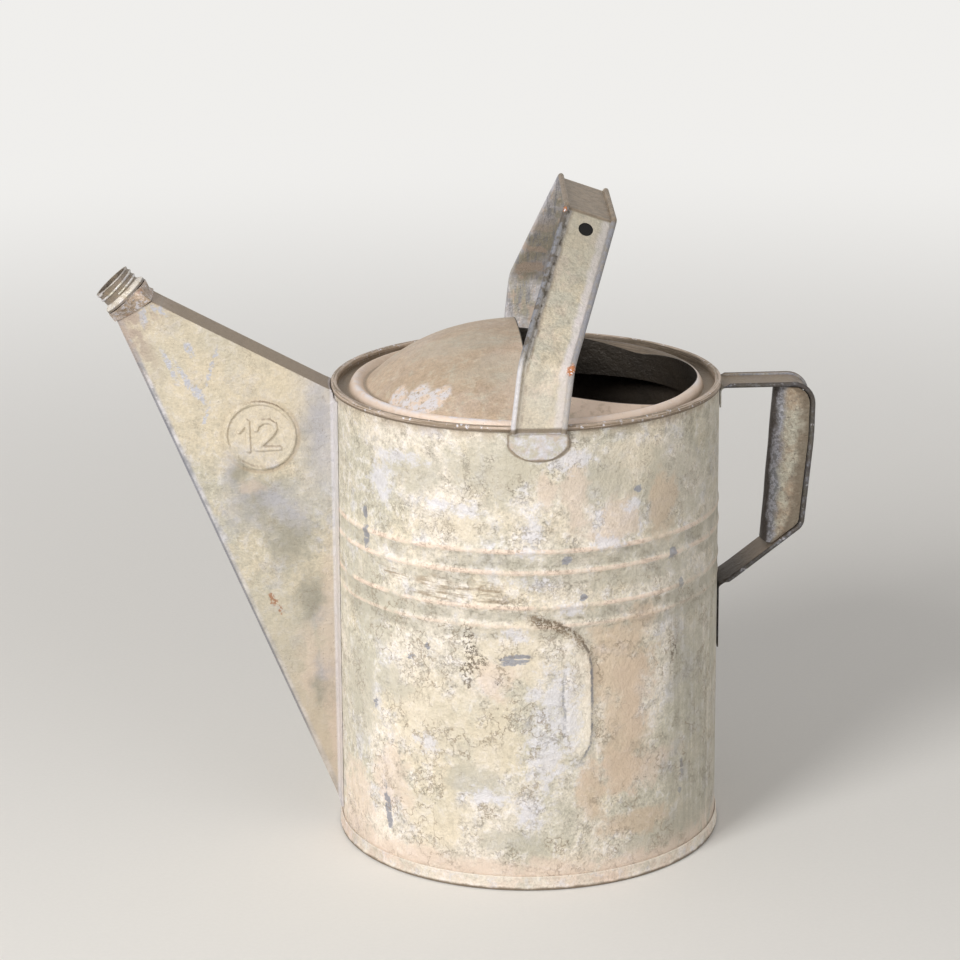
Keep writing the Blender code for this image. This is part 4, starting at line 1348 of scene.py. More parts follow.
def wall_finish():
    """Cream, sage and peach clouds with frosted and bare patches, cracks, pits and a dark fold."""
    tones = (("cream", 1.0), ("sage", 1.15), ("straw", 1.0), ("frost", 0.92))
    coat = Coat("Weathered wall zinc", tones, 11.0, 0.017)
    place, over = coat.place, coat.over
    x, y, z = place.parts()
    radius = sizes().body_radius * MM
    around = place.math("ARCTAN2", x, -y) * radius
    flat = around.joined(z, 0.0)
    broad, close = place.noise(0.07, 5.0, 0.65) - 0.5, place.noise(0.22, 5.0, 0.7) - 0.5

    def tinted(name, jagged, low=0.5, high=1.15):
        return (stored(place, name) + jagged).smooth(low, high, 1.0, 0.0)

    over(tinted("straw", broad * 2.2) * 0.50, "straw")
    over(tinted("sage", broad * 2.6) * 0.62, "sage")
    over(tinted("peach", broad * 2.8) * 0.55, "peach")
    # Peach bloom and painted highlight along the bead crests.
    crest = stored(place, "bead")
    over(crest.smooth(0.35, 0.85) * (broad * 3.0 + 0.5).smooth(0.0, 0.8) * 0.9, "peach", 1.14)
    # Painted shade in the hollows between and under the beads.
    hollow = z.near(205.5, 5.5, 3.0).most(z.near(172.0, 4.0, 2.0))
    under = z.near(194.0, 4.0, 1.5).most(z.near(161.0, 4.0, 1.5))
    bead_shade = hollow.most(under * 0.8) * (broad * 2.0 + 0.6).smooth(0.1, 0.9)
    over(bead_shade * 0.75, "sage", 0.88)
    over(tinted("tan", broad * 2.4) * 0.62, "taupe", 1.36)
    frost = tinted("frost", close * 3.8 + broad * 1.2, 0.25, 1.15)
    over(frost * 0.70, "frost")
    streaks = flat.stretched(0.06, 0.45, 1.0).noise(1.0, 4.0, 0.65)
    slate = tinted("slate", close * 2.2, 0.75, 1.05) * streaks.smooth(0.36, 0.45)
    over(slate * 0.85, "slate", 1.1)
    grime = tinted("grime", broad * 2.0, 0.4, 1.2) * streaks.smooth(0.46, 0.60)
    over(grime * 0.75, "umber", 2.1)
    crumbs = close.near(0.0, 0.052, 0.016)
    dark = tinted("dark", broad * 1.6, 0.95, 1.35) * crumbs * z.smooth(200, 165, 0.4, 0.85)
    # Sage film with ribs on the right side, darkened there as painted shade.
    right = around.smooth(80, 92) * z.smooth(200, 168) * around.smooth(330, 190)
    ribs = flat.stretched(0.22, 0.006, 1.0).noise(1.0, 3.0, 0.6)
    right_side = around.smooth(60, 140) * around.smooth(340, 230) * 0.42
    shaded = (right * (ribs.smooth(0.30, 0.62) * 0.45 + 0.40)).most(right_side)
    over(shaded * 0.85, "sage", 0.80)
    cracks = hairlines(place, 0.075, 0.019) * z.smooth(215, 165, 0.3, 1.0)
    cracks = cracks.most(close.near(0.0, 0.020, 0.004) * (broad + 0.5).smooth(0.48, 0.60) * 0.7)
    over(cracks * 0.70, "umber", 2.0)
    # Painted shadow round the carrying strap's tab on the wall.
    outline = flat.spots(((-0.6, 276.0, 18.9, 10.6),), 0.95, 1.02)
    over(outline * 0.75, "umber", 1.8)
    holes = coat.pitted(0.45, 0.16, 0.6, 1.3)
    over(dark, "umber", 0.9)
    fold, run, twin = stored(place, "fold"), stored(place, "fold_run"), stored(place, "twin")
    wander = fold + close * 4.4 + broad * 3.0
    ends = run.smooth(0.0, 0.10) * run.smooth(0.995, 0.90)
    edge = wander.near(0.8, 1.4, 0.3) * ends
    bright = wander.smooth(-17.0, -2.0) * wander.smooth(0.6, -0.6) * run.smooth(0.25, 0.45) * ends
    over(bright * (close * 2.4 + 0.55), "cream", 1.12)
    arc = wander.near(-1.0, 4.5, 1.5) * run.smooth(0.50, 0.30) * run.smooth(0.02, 0.08)
    over(arc * (crumbs * 0.7 + 0.3), "umber", 1.7)
    line = run.smooth(0.34, 0.52).between("umber", 1.2, "slate", 0.8)
    broken = (close + 0.5).smooth(0.38, 0.56)
    over(edge * broken * 0.85, line)
    over((twin + close * 3.0).smooth(0.4, 1.5, 0.7, 0.0) * broken, "slate", 0.8)
    # Painted light: the wall's left side, below the top, is lightened.
    coat.colour = coat.colour.dimmed(around.smooth(-50, -110) * z.smooth(262, 205) * 0.14 + 1.0)
    low = z.smooth(26, 9) * place.patches(0.08, 0.36, 0.52, 4.0, 0.6)
    over(low * 0.6, "peach", 1.02)
    high = z.smooth(276, 284) * place.patches(0.10, 0.35, 0.60, 3.0, 0.55)
    over(high * 0.6, "umber", 2.4)
    # Painted shade on the wall's inner face.
    normal = place.node("ShaderNodeNewGeometry", output=1)
    inside = (normal.part("X") * x + normal.part("Y") * y).smooth(0.0, -8.0)
    inner_shade = place.noise(0.03, 4.0, 0.6).between("soot_and_shade", 0.9, "umber", 0.45)
    over(inside, inner_shade)
    roughness = coat.pale * -0.14 + frost * -0.10 + 0.60 + slate * -0.18
    metal = 0.12 + frost * 0.16 + slate * 0.45
    height = coat.height + cracks * -0.22 + holes * -0.22 + edge * -0.25
    return coat.done(roughness, metal, height)


def foot_finish():
    """Peach and cream, darker towards the floor."""
    tones = (("cream", 1.0), ("peach", 1.0), ("sage", 1.0), ("frost", 0.9))
    coat = Coat("Weathered foot zinc", tones, 31.0, 0.03, 0.6)
    place, over = coat.place, coat.over
    z = place.part("Z")
    # Darker towards the floor.
    darker_near_floor = (z + (place.noise(0.12, 4.0, 0.65) - 0.5) * 3.0).smooth(2.6, 1.0)
    over(darker_near_floor * 0.9, "umber", 1.2)
    lip = (z + (place.noise(0.2, 3.0) - 0.5) * 1.6).smooth(8.0, 8.8) * 0.4
    over(lip, "cream")
    holes = coat.pitted(0.5, 0.16, 0.6, 1.2)
    return coat.done(0.62 - coat.pale * 0.12, 0.15, coat.height + holes * -0.2)


def hood_finish():
    """Taupe film with a scraped patch, a dark groove, pale specks along the rim, painted shade in the
    channel, on the far rim wall and underneath, and painted highlight on the moulding's front.
    """
    tones = (("taupe", 1.04), ("taupe", 1.22), ("peach", 0.74), ("sage", 1.0))
    coat = Coat("Weathered hood zinc", tones, 53.0, 0.02, 0.7)
    place, over = coat.place, coat.over
    x, y, z = place.parts()
    radius = (x * x + y * y).root()
    channel, dome, outer = channel_radius() * MM, dome_radius() * MM, rim_radius() * MM
    annulus = radius.smooth(dome - 1, dome + 3) * radius.smooth(channel + 1, channel - 2)
    # Peach bloom on the annulus and frosted patches on the moulding's crown, both stronger at the front
    # as painted highlight.
    front = (-y).smooth(-60, 60)
    over(annulus * (front * 0.55 + 0.42), "peach", 1.12)
    crown = radius.smooth(dome + 2, dome + 5) * radius.smooth(channel - 1, channel - 4)
    over(crown * front * place.patches(0.10, 0.38, 0.58) * 0.85, "frost", 1.05)
    apron = x.smooth(-30, 10) * (-y).smooth(18, 46) * radius.smooth(channel, channel - 3)
    over(apron * place.patches(0.09, 0.30, 0.52) * 0.8, "peach", 1.10)
    # Painted shade in the channel and on the rim below its crown.
    trough = radius.smooth(channel - 1.5, channel + 1.0) * z.smooth(286.4, 284.0)
    over(trough * 0.85, "umber", 1.1)
    over(radius.near(dome + 0.4, 1.6, 0.4) * 0.6, "umber", 1.3)
    scrapes = ((-71, -61, 13, 9, 25), (-59, -68, 13, 7, 15), (-79, -48, 6, 8))
    scraped = place.ragged(0.16, 9.0, 4.0).stretched(1, 1, 0).spots(scrapes, 0.7, 1.1)
    scratch = place.patches(0.42, 0.30, 0.48)
    bare = place.patches(0.13, 0.40, 0.54).between("peach", 1.10, "frost", 1.02)
    over(scraped * scratch * 0.75, scratch.mix(tone("taupe", 1.1), bare))
    smears = ((-20, -60, 30, 18), (-40, -20, 34, 22), (10, -96, 22, 8))
    over(place.ragged(0.05, 30.0).stretched(1, 1, 0).spots(smears) * 0.35, "sage", 0.95)
    rim = radius.smooth(outer - 4.2, outer - 3.4)
    run = place.math("ARCTAN2", x, -y) * outer
    lines = run.joined(z, radius).stretched(0.035, 1.2, 1.2).patches(1.0, 0.42, 0.58, 4.0, 0.65)
    over(rim * 0.85, lines.between("umber", 1.3, "peach", 0.74))
    speck = pits(place, 0.30, 0.30).most(place.patches(0.35, 0.60, 0.68, 3.0))
    over(rim * speck * 0.9, "frost", 0.95)
    over(rim * z.smooth(285.4, 284.2) * 0.9, "umber")
    holes = coat.pitted(0.4, 0.14, 0.5, 1.4)
    under = place.node("ShaderNodeNewGeometry", output=1).part("Z").smooth(-0.2, -0.5)
    edge = sizes().mouth_radius * MM
    centre = (channel - MOUTH_EDGE * MM - edge, 0.0, 0.0)
    mouth = place.vector("SUBTRACT", centre).stretched(1, 1, 0).vector("LENGTH", output=1)
    lip = mouth.smooth(edge + 0.5, edge + 0.2) * x.smooth(-4.8, -4.3)
    # Painted shade on the far side of the rim's inner wall.
    far = y.smooth(0, 36) * x.smooth(-12, 6) * radius.smooth(outer - 3.0, outer - 3.6)
    over(far * 0.92, lines.between("umber", 0.45, "taupe", 0.33))
    # Painted shade on faces that look down and on the mouth's turned-down edge.
    over(under.most(lip), place.noise(0.06, 4.0, 0.65).between("soot_and_shade", 0.45, "umber", 0.28))
    height = coat.height * 0.7 + holes * -0.15 + scraped * scratch * 0.1
    return coat.done(0.50 - scraped * 0.1, 0.22, height)


def spout_finish():
    """Straw-cream plates with blue-grey scrapes, a dent darkened with painted shade, painted shadow
    beside the badge ring, a rust spot and a bruised seam.
    """
    tones = (("straw", 0.86), ("sage", 0.98), ("straw", 0.78), ("frost", 0.70))
    coat = Coat("Weathered spout zinc", tones, 77.0, 0.018, 0.9)
    place, over = coat.place, coat.over
    x, y, z = place.parts()
    flat = x.joined(z, 0.0)
    torn = flat.ragged(0.09, 24.0, 4.0)
    close = flat.ragged(0.30, 7.0, 4.0)
    broad_tint = place.patches(0.035, 0.42, 0.58, 3.0, 0.6)
    over(z.smooth(215, 285) * 0.45, "straw", 0.84)
    over(z.smooth(200, 130) * 0.65, "sage", 0.92)
    over(z.smooth(150, 60) * 0.4, "taupe", 1.25)
    # Painted shade in and round the dent under the badge, mixed with grey-green film.
    shade = torn.spots(SPOUT_MARKS["shade"], 0.2, 1.4)
    over(shade * 0.80, broad_tint.between("sage", 0.60, "frost", 0.50))
    over(x.smooth(-150, -122) * z.smooth(190, 240) * 0.5, "frost", 0.68)
    over(torn.spots(SPOUT_MARKS["warm"], 0.3, 1.3) * 0.5, "peach", 0.86)
    scrape = close.spots(SPOUT_MARKS["scrape"])
    over(scrape * place.patches(0.35, 0.36, 0.54, 3.0) * 0.8, "slate", 1.9)
    near_side = y.smooth(2.0, -2.0)
    spot = close.spots(SPOUT_MARKS["rust"], 0.7, 1.2) * place.patches(0.6, 0.44, 0.52, 3.0)
    over(spot * near_side * 0.8, "rust", 0.8)
    # Taupe film and painted shade on faces that look up.
    facing_up = place.node("ShaderNodeNewGeometry", output=1).part("Z").smooth(0.45, 0.75)
    over(facing_up * 0.9, "taupe", 0.62)
    fold = z - (((x + 118.7) / -127.0) * 312.7 + SEAM_FOOT * MM)
    near_seam = (fold + (place.noise(0.15, 3.0) - 0.5) * 4.0).smooth(13.0, 6.0)
    bruise = place.noise(0.11, 4.0, 0.65)
    edge = bruise.smooth(0.34, 0.66).between("slate", 0.95, "frost", 0.90)
    over(near_seam * z.smooth(120, 240, 0.35, 0.8), edge)
    mauve = fold.smooth(46.0, 22.0) * z.smooth(285, 312) * bruise.smooth(0.40, 0.52)
    over(mauve * 0.7, "peach", 0.52)
    over(fold.smooth(4.6, 2.6) * z.smooth(30, 80) * 0.75, "slate", 0.62)
    tipward = (z * 0.742 - x * 0.67).smooth(385, 399) * bruise.smooth(0.36, 0.54)
    over(tipward * (1.0 - scrape) * 0.75, "peach", 0.55)
    over((x * x + y * y).root().smooth(121.0, 119.6) * 0.5, "frost")
    rusty_tip = x.smooth(-226, -238) * place.patches(0.12, 0.36, 0.52, 3.0, 0.55)
    over(rusty_tip * 0.5, "peach", 0.62)
    brush = flat.stretched(0.30, 0.02, 1.0).noise(1.0, 4.0, 0.6)
    coat.colour = coat.colour.dimmed(brush.smooth(0.3, 0.7, 0.97, 1.03))
    cracks = hairlines(flat, 0.09, 0.010, 0.56)
    over(cracks * 0.4, "umber", 1.8)
    badge = flat.vector("SUBTRACT", (BADGE_X * MM, BADGE_Z * MM, 0.0))
    ring = badge.vector("LENGTH", output=1)
    # Painted shadow of the raised badge ring, outside it to the lower right.
    ring_shadow_side = badge.vector("DOT_PRODUCT", (0.7, -0.7, 0.0), output=1).smooth(-6, 14, 0.25, 0.8)
    over(ring.near(23.6, 1.8, 0.2) * ring_shadow_side * near_side * 0.55, "umber", 2.6)
    over(ring.smooth(21.0, 19.0) * near_side * 0.22, "cream", 0.9)
    holes = coat.pitted(0.4, 0.13, 0.5, 1.6)
    height = coat.height * 0.8 + holes * -0.15 + cracks * -0.08
    return coat.done(0.58 - scrape * 0.12, 0.14 + scrape * 0.3, height)


def neck_finish():
    """Mauve-brown with lumps of solder."""
    tones = (("peach", 0.52), ("taupe", 0.80), ("peach", 0.86), ("frost", 0.85))
    coat = Coat("Soldered neck zinc", tones, 91.0, 0.07)
    place, over = coat.place, coat.over
    lumps = place.noise(0.28, 3.0, 0.6)
    solder = lumps.smooth(0.56, 0.64)
    over(solder * 0.75, "frost", 0.85)
    over(place.patches(0.12, 0.58, 0.68, 3.0, 0.6) * 0.4, "rust")
    return coat.done(0.50 - solder * 0.12, 0.25 + solder * 0.3, coat.height + lumps * 1.1)


def collar_finish():
    """Bright rubbed threads with dark valleys and a brown underside."""
    tones = (("frost", 0.85), ("sage", 0.9), ("frost", 0.62), ("cream", 1.0))
    coat = Coat("Rubbed collar zinc", tones, 17.0, 0.12)
    place, over = coat.place, coat.over
    foot = collar_frame()
    axis = foot.to_3x3() @ Vector((0, 0, 1))
    from_foot = place.vector("SUBTRACT", tuple(foot.translation * MM))
    up = from_foot.vector("DOT_PRODUCT", tuple(axis), output=1)
    reach = from_foot.vector("LENGTH", output=1)
    radius = (reach * reach - up * up).most(0.0).root()
    over(radius.smooth(12.55, 12.0) * up.smooth(3.4, 4.2) * 0.85, "umber", 1.25)
    # Painted shade inside the bore, darker further in.
    over(radius.smooth(11.6, 11.2) * up.smooth(12.6, 8.0, 0.45, 0.95), "soot_and_shade", 2.0)
    over(up.smooth(4.2, 3.4) * up.smooth(1.2, 1.8) * 0.6, "cream", 1.08)
    over(up.smooth(1.5, 0.9) * 0.8, "umber", 0.9)
    grime = place.patches(0.25, 0.52, 0.62, 3.0) * 0.45
    over(grime, "umber", 2.0)
    return coat.done(0.42 + grime * 0.2, 0.35, coat.height * 0.7)


def bail_finish():
    """Green-cream face between a dark rolled edge and a pale one painted as highlight, taupe top with
    painted shade, frosted tabs with painted shade on their edges, two chips.
    """
    tones = (("sage", 0.94), ("straw", 0.74), ("peach", 0.78), ("sage", 0.66))
    coat = Coat("Weathered carrying strap zinc", tones, 41.0, 0.045, 1.1)
    place, over = coat.place, coat.over
    lay = stored(place, "lay", vector=True)
    across, along = lay.part("X"), lay.part("Y")
    near_leg = along.smooth(19, 22) * along.smooth(165, 162)
    tab = along.smooth(20.5, 19.0)
    jog = (place.noise(0.10, 4.0, 0.65) - 0.5) * 5.0
    right = (across + jog).smooth(6.8, 10.2)
    left = (across + jog * 0.6).smooth(-9.5, -12.2)
    mottle = place.patches(0.20, 0.40, 0.58)
    hem = mottle.between("soot_and_shade", 2.2, "slate", 0.75)
    for mask, colour, strength in (
        # Painted highlight: the right band of frost and peach, on the lit flank of the right rolled
        # edge.
        (right * (mottle * 0.35 + 0.5), "frost", 0.84),
        (right * mottle * 0.3, "peach", 0.95),
        ((across + jog * 0.3).near(-10.4, 1.5, 0.5) * mottle * 0.75, "umber", 1.5),
        (along.smooth(84, 148) * 0.45, "sage", 0.62),
        (left * (along.smooth(52, 72) * 0.6 + 0.22), hem, 1.0),
        (across.near(-12.4, 1.5, 0.3) * mottle * 0.45, "cream", 0.9),
    ):
        over(mask * near_leg, colour, strength)
    flank = (across.smooth(12.2, 13.4) * near_leg).most(across.size().smooth(14.6, 15.6))
    over(flank * (mottle * 0.35 + 0.5), hem)
    over(along.smooth(66, 44) * near_leg * 0.30, "cream")
    # Painted highlight on the outside of the left rolled edge, low on the near leg.
    edge_highlight = across.smooth(-13.0, -14.2) * along.smooth(70, 50) * near_leg
    over(edge_highlight * 0.7, "frost", 0.95)
    wavering = along + jog * 0.3
    # Taupe film and painted shade on the strap's top, which looks up.
    grip = wavering.smooth(162.5, 164.5) * along.smooth(259, 256)
    over(grip * 0.9, mottle.between("taupe", 0.42, "taupe", 0.64))
    over(wavering.near(163.5, 1.3, 0.4) * 0.6, "umber", 1.1)
    behind = along.smooth(257, 260)
    bluish = place.patches(0.05, 0.40, 0.60, 4.0, 0.65).between("sage", 0.78, "frost", 0.76)
    streaky = place.stretched(0.40, 0.05, 0.05).noise(1.0, 4.0, 0.7)
    bluish = (streaky.smooth(0.50, 0.60) * 0.8).mix(bluish, tone("slate"))
    bluish = (streaky.smooth(0.42, 0.36) * 0.7).mix(bluish, tone("peach", 0.95))
    lower = place.patches(0.07, 0.50, 0.60, 3.0, 0.55) * along.smooth(290, 330, 0.0, 0.85)
    over(behind * 0.85, lower.mix(bluish, tone("peach", 0.75)))
    tabs = place.patches(0.18, 0.36, 0.62, 5.0).between("frost", 0.90, "sage", 1.08)
    tabs = (place.patches(0.2, 0.58, 0.66, 3.0, 0.55) * 0.5).mix(tabs, tone("peach", 0.8))
    # Painted shade along the tabs' edges and at the near tab's foot.
    rim = across.size().smooth(14.6, 15.8).most(along.smooth(1.8, 0.6))
    tabs = (mottle * 0.25).mix(tabs, tone("taupe"))
    tabs = (rim * 0.8).mix(tabs, tone("umber", 1.5))
    over(tab, tabs)
    ragged = across.joined(along, 0.0).ragged(0.5, 3.0)
    chips = ragged.spots(((14.0, 57, 2.8, 3.6), (-15.2, 161, 1.2, 2.0)), 0.6, 1.1)
    over(chips, place.patches(0.9, 0.55, 0.62, 2.0, 0.55).between("rust", 1.15, "frost", 1.0))
    under = lay.part("Z").smooth(-0.40, -0.48)
    inner = place.patches(0.08, 0.4, 0.6).between("slate", 0.9, "frost", 0.55)
    over(under * (1.0 - tab) * (1.0 - behind) * 0.9, inner)
    # Painted shadow along the step where the strap rises over the rim.
    over(along.smooth(18.2, 19.4) * along.smooth(22.6, 21.0) * 0.8, "umber", 1.1)
    holes = coat.pitted(0.5, 0.15, 0.55, 1.4)
    # Painted shade: the hole's bore and web near black.
    hole = stored(place, "hole").smooth(4.42, 4.36)
    over(hole, "soot_and_shade", 0.1)
    height = coat.height * 0.8 + chips * 0.25 + holes * -0.15
    return coat.done(0.52 + chips * 0.2 + hole * 0.45, 0.20 - hole * 0.20, height)


def handle_finish():
    """Darker green-grey, mottled on its rolls, brown on top with painted shade, and painted shade near
    black at the ends of the lower arm's inner face.
    """
    tones = (("sage", 0.7), ("slate", 0.85), ("taupe", 0.62), ("frost", 0.45))
    coat = Coat("Weathered handle zinc", tones, 61.0, 0.05, 1.1)
    place, over = coat.place, coat.over
    lay = stored(place, "lay", vector=True)
    across, along = lay.part("X"), lay.part("Y")
    x, _, z = place.parts()
    # Taupe film and painted shade on faces that look up.
    looks_up = place.node("ShaderNodeNewGeometry", output=1).part("Z").smooth(0.5, 0.8)
    over(looks_up * 0.85, "taupe", 0.57)
    rolls = across.size().smooth(12.6, 13.4)
    mottle = place.noise(0.22, 4.0, 0.7)
    over(rolls * 0.85, mottle.smooth(0.48, 0.68).between("soot_and_shade", 1.1, "slate", 0.62))
    corner = place.spots(((170, -15, 9, 30),), 0.4, 1.1) * z.smooth(262, 272)
    over(corner * mottle.smooth(0.40, 0.52) * 0.85, "soot_and_shade", 1.8)
    over(place.patches(0.16, 0.62, 0.70) * rolls * 0.6, "frost", 0.8)
    # Painted shade, near black, at both ends of the lower arm's inner face, by the wall and by the grip.
    inner = lay.part("Z").smooth(-0.35, -0.48) * z.smooth(200, 186)
    ends = x.smooth(146, 126).most(x.smooth(154, 162))
    over(inner * 0.85, (ends * 0.9).between("taupe", 0.52, "soot_and_shade", 1.1))
    over(along.smooth(14, 12) * 0.5, "sage", 1.15)
    over(along.smooth(250, 256) * 0.7, "umber", 1.3)
    holes = coat.pitted(0.5, 0.17, 0.6, 1.2)
    return coat.done(0.50, 0.30, coat.height + holes * -0.2 + mottle * 0.15)


def sheath_finish():
    """Blue-grey towards the wall side, beige in the middle, with painted shade darkening the crest and
    the borders.
    """
    tones = (("sage", 0.78), ("taupe", 0.72), ("sage", 0.60), ("sage", 0.90))
    coat = Coat("Weathered sheath zinc", tones, 71.0, 0.05, 1.2)
    place, over = coat.place, coat.over
    x, y, z = place.parts()
    off = x - 144.8 - (z - 180.5) * 0.0682 + (place.noise(0.09, 4.0, 0.65) - 0.5) * 7.0
    fleck = place.noise(0.35, 4.0, 0.7)
    blued = fleck.smooth(0.44, 0.58).between("slate", 0.5, "slate", 1.25)
    over(off.smooth(9.5, 5.0) * 0.85, blued)
    over(fleck.smooth(0.56, 0.64) * 0.5, "soot_and_shade", 3.0)
    over(off.smooth(14.0, 22.0) * 0.45, "sage", 0.92)
    # Painted shade on the crest, which faces the wall.
    over(off.smooth(3.4, 1.4) * 0.9, "soot_and_shade", 1.7)
    # Painted shade along the borders tucked under the rolls.
    edge_shade = (y.size() + (place.noise(0.12, 3.0) - 0.5) * 2.0).smooth(12.0, 12.9)
    over(edge_shade * 0.8, "umber", 0.9)
    holes = coat.pitted(0.5, 0.16, 0.6, 1.2)
    return coat.done(0.52, 0.25, coat.height + holes * -0.2)


def bottom_finish():
    """Dark bottom."""
    tones = (("umber", 1.6), ("soot_and_shade", 3.0), ("sage", 0.45), ("rust", 0.5))
    coat = Coat("Stained bottom zinc", tones, 83.0, 0.03)
    return coat.done(0.62, 0.25, coat.height)


# Studio


def seen_directly(tree):
    """1 for rays that come from the camera or by way of a mirror or glass."""
    path = tree.nodes.new("ShaderNodeLightPath")
    seen = Wire(tree, path.outputs["Is Camera Ray"]).most(Wire(tree, path.outputs["Is Glossy Ray"]))
    return seen.most(Wire(tree, path.outputs["Is Transmission Ray"]))


def build_floor():
    """The floor that curves up into the backdrop; its far part is plain paper to the camera."""
    profile = [(-2.6, 0.0), (2.2, 0.0)]
    for step in range(1, 13):
        turn = math.pi / 2 * step / 12
        profile.append((2.2 + 0.9 * math.sin(turn), 0.9 - 0.9 * math.cos(turn)))
    profile.append((3.1, 3.4))
    bm = bmesh.new()
    rows = [[bm.verts.new((x, y, z)) for y, z in profile] for x in (-4.0, 4.0)]
    for index in range(len(profile) - 1):
        bm.faces.new((rows[0][index], rows[1][index], rows[1][index + 1], rows[0][index + 1]))
    mesh = to_mesh("studio_floor", bm)
    mesh.shade_smooth()
    floor = bpy.data.objects.new("studio_floor", mesh)
    bpy.context.scene.collection.objects.link(floor)
    material, place = start_finish("Pale floor paper")
    grain = place.noise(0.4, 2.0, 0.5)
    plain = grain.smooth(0.3, 0.7).mix(tone("floor", 0.985), tone("floor", 1.0))
    end_finish(material, plain, 0.85, 0.0, grain * 0.05)
    tree = material.node_tree
    seen = seen_directly(tree)
    away = place.stretched(1, 1, 0).vector("LENGTH", output=1).smooth(300.0, 2400.0) * seen
    glow = place.node("ShaderNodeEmission", None, {"Color": PAPER, "Strength": 1.0})
    paper = Wire(tree, tree.nodes["Principled BSDF"].outputs["BSDF"])
    both = place.node("ShaderNodeMixShader", None, {0: away, 1: paper, 2: glow})
    tree.links.new(both.socket, tree.nodes["Material Output"].inputs["Surface"])
    mesh.materials.append(material)


def build_world():
    """A soft sky that looks like plain paper to the camera."""
    world = bpy.data.worlds.new("Soft studio")
    bpy.context.scene.world = world
    world.use_nodes = True
    sky = world.node_tree.nodes["Background"]
    sky.inputs["Color"].default_value = (1.0, 0.975, 0.95, 1.0)
    sky.inputs["Strength"].default_value = 0.42
    tree = world.node_tree
    seen = seen_directly(tree)
    paper = seen.node("ShaderNodeBackground", None, {"Color": PAPER, "Strength": 1.0})
    both = seen.node("ShaderNodeMixShader", None, {0: seen, 1: Wire(tree, sky.outputs[0]), 2: paper})
    tree.links.new(both.socket, tree.nodes["World Output"].inputs["Surface"])


def add_lamp(name, where, size, energy, colour):
    """A round lamp aimed at the can."""
    data = bpy.data.lights.new(name, "AREA")
    data.shape = "DISK"
    data.size = size
    data.energy = energy
    data.color = colour
    made = bpy.data.objects.new(name, data)
    made.location = where
    made.rotation_euler = (Vector(LAMP_AIM) - Vector(where)).to_track_quat("-Z", "Y").to_euler()
    bpy.context.scene.collection.objects.link(made)


def add_camera():
    """The camera, where the photograph was taken from."""
    turn, rise, roll = (math.radians(angle) for angle in (CAMERA_TURN, CAMERA_RISE, CAMERA_ROLL))
    level = math.cos(rise)
    forward = Vector((-math.sin(turn) * level, math.cos(turn) * level, -math.sin(rise)))
    right = Vector((math.cos(turn), math.sin(turn), 0))
    up = right.cross(forward)
    across = right * math.cos(roll) + up * math.sin(roll)
    above = up * math.cos(roll) - right * math.sin(roll)
    data = bpy.data.cameras.new("photo_camera")
    data.sensor_width = SENSOR
    data.lens = LENS
    camera = bpy.data.objects.new("photo_camera", data)
    bpy.context.scene.collection.objects.link(camera)
    place = Matrix((across, above, -forward)).transposed().to_4x4()
    aim_x, aim_z = CAMERA_AIM
    place.translation = Vector((AXIS.x + aim_x, 0, aim_z)) - forward * CAMERA_DISTANCE
    camera.matrix_world = place
    bpy.context.scene.camera = camera


def build_stage():
    """The floor and backdrop, the sky, the lamps and the camera."""
    bpy.context.scene.view_settings.view_transform = "Standard"
    build_floor()
    build_world()
    add_lamp("key_lamp", (-1.6, -1.9, 1.65), 1.1, 56.0, (1.0, 0.98, 0.95))
    add_lamp("fill_lamp", (1.6, -2.2, 1.2), 1.8, 9.0, (1.0, 0.99, 0.97))
    add_camera()


# Operators, panel and registration


class CAN_OT_body(bpy.types.Operator):
    """Build the wall, its foot band and finish the bottom"""

    bl_idname = "can.body"
    bl_label = "Body"
    bl_options = {"REGISTER", "UNDO"}

    def execute(self, context):
        build_wall()
        build_foot()
        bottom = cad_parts["bottom_plate"]
        for slot in bottom.material_slots:
            slot.material = bottom_finish()
        return {"FINISHED"}


class CAN_OT_hood(bpy.types.Operator):
    """Build the half-domed hood with its filling mouth"""

    bl_idname = "can.hood"
    bl_label = "Hood"
    bl_options = {"REGISTER", "UNDO"}

    def execute(self, context):
        build_hood()
        return {"FINISHED"}


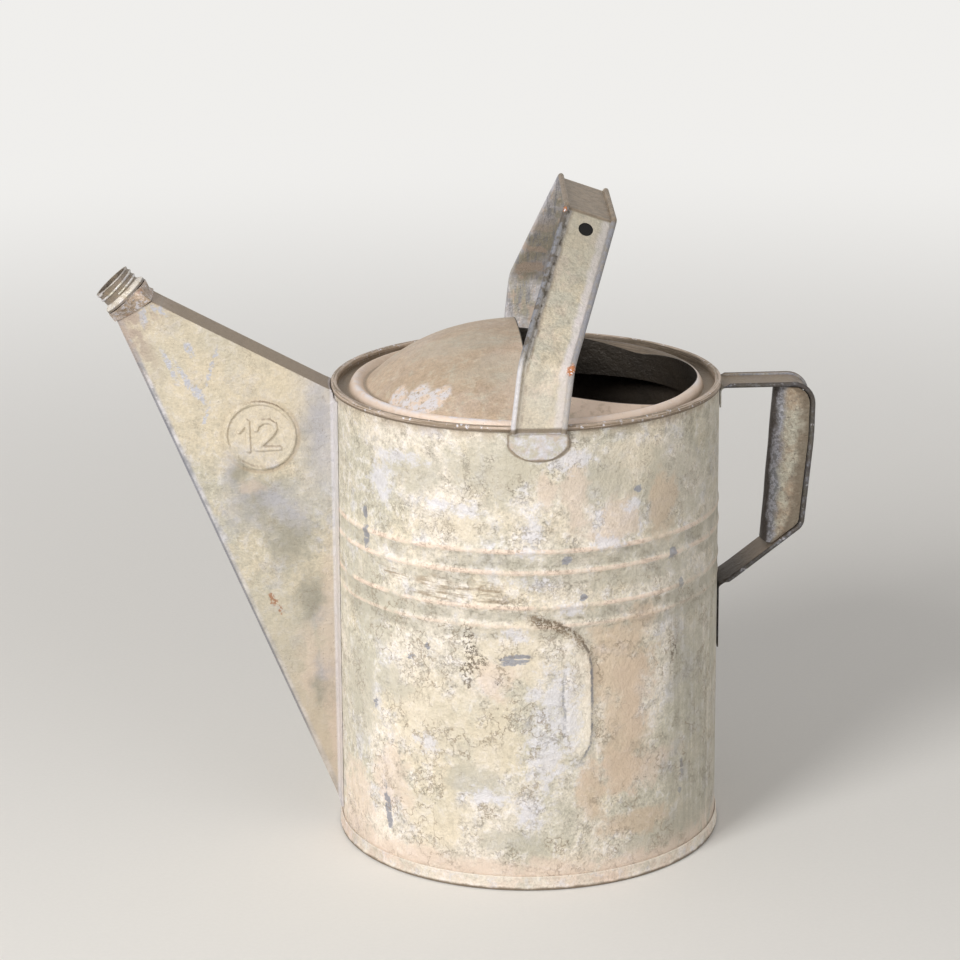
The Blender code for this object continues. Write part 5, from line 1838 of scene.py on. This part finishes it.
class CAN_OT_spout(bpy.types.Operator):
    """Build the wedge spout, its neck and its threaded collar"""

    bl_idname = "can.spout"
    bl_label = "Spout"
    bl_options = {"REGISTER", "UNDO"}

    def execute(self, context):
        build_spout()
        build_neck()
        build_collar()
        return {"FINISHED"}


class CAN_OT_straps(bpy.types.Operator):
    """Build the carrying strap, the pouring handle and the trough in its grip"""

    bl_idname = "can.straps"
    bl_label = "Straps"
    bl_options = {"REGISTER", "UNDO"}

    def execute(self, context):
        build_bail()
        build_handle()
        build_sheath()
        return {"FINISHED"}


class CAN_OT_stage(bpy.types.Operator):
    """Set up the floor, the lamps and the camera"""

    bl_idname = "can.stage"
    bl_label = "Studio"
    bl_options = {"REGISTER", "UNDO"}

    def execute(self, context):
        build_stage()
        return {"FINISHED"}


class CAN_PT_panel(bpy.types.Panel):
    """Sizes, colours and building steps of the watering can"""

    bl_idname = "CAN_PT_panel"
    bl_label = "Watering Can"
    bl_space_type = "VIEW_3D"
    bl_region_type = "UI"
    bl_category = "Watering Can"

    def draw(self, context):
        layout = self.layout
        for group in (context.scene.can_sizes, context.scene.can_colours):
            column = layout.column(align=True)
            for name in group.__annotations__:
                column.prop(group, name)
        for operator in OPERATORS:
            layout.operator(operator.bl_idname)


OPERATORS = (CAN_OT_body, CAN_OT_hood, CAN_OT_spout, CAN_OT_straps, CAN_OT_stage)
CLASSES = (CanSizes, CanColours, *OPERATORS, CAN_PT_panel)


def register():
    """Makes the classes and the can's settings known to Blender."""
    for item in CLASSES:
        bpy.utils.register_class(item)
    bpy.types.Scene.can_sizes = bpy.props.PointerProperty(type=CanSizes)
    bpy.types.Scene.can_colours = bpy.props.PointerProperty(type=CanColours)


def unregister():
    """Takes them away again."""
    del bpy.types.Scene.can_colours
    del bpy.types.Scene.can_sizes
    for item in reversed(CLASSES):
        bpy.utils.unregister_class(item)


def main():
    """Builds the can and its studio."""
    register()
    steps = bpy.ops.can
    for step in (steps.body, steps.hood, steps.spout, steps.straps, steps.stage):
        step()


if __name__ == "__main__":
    main()
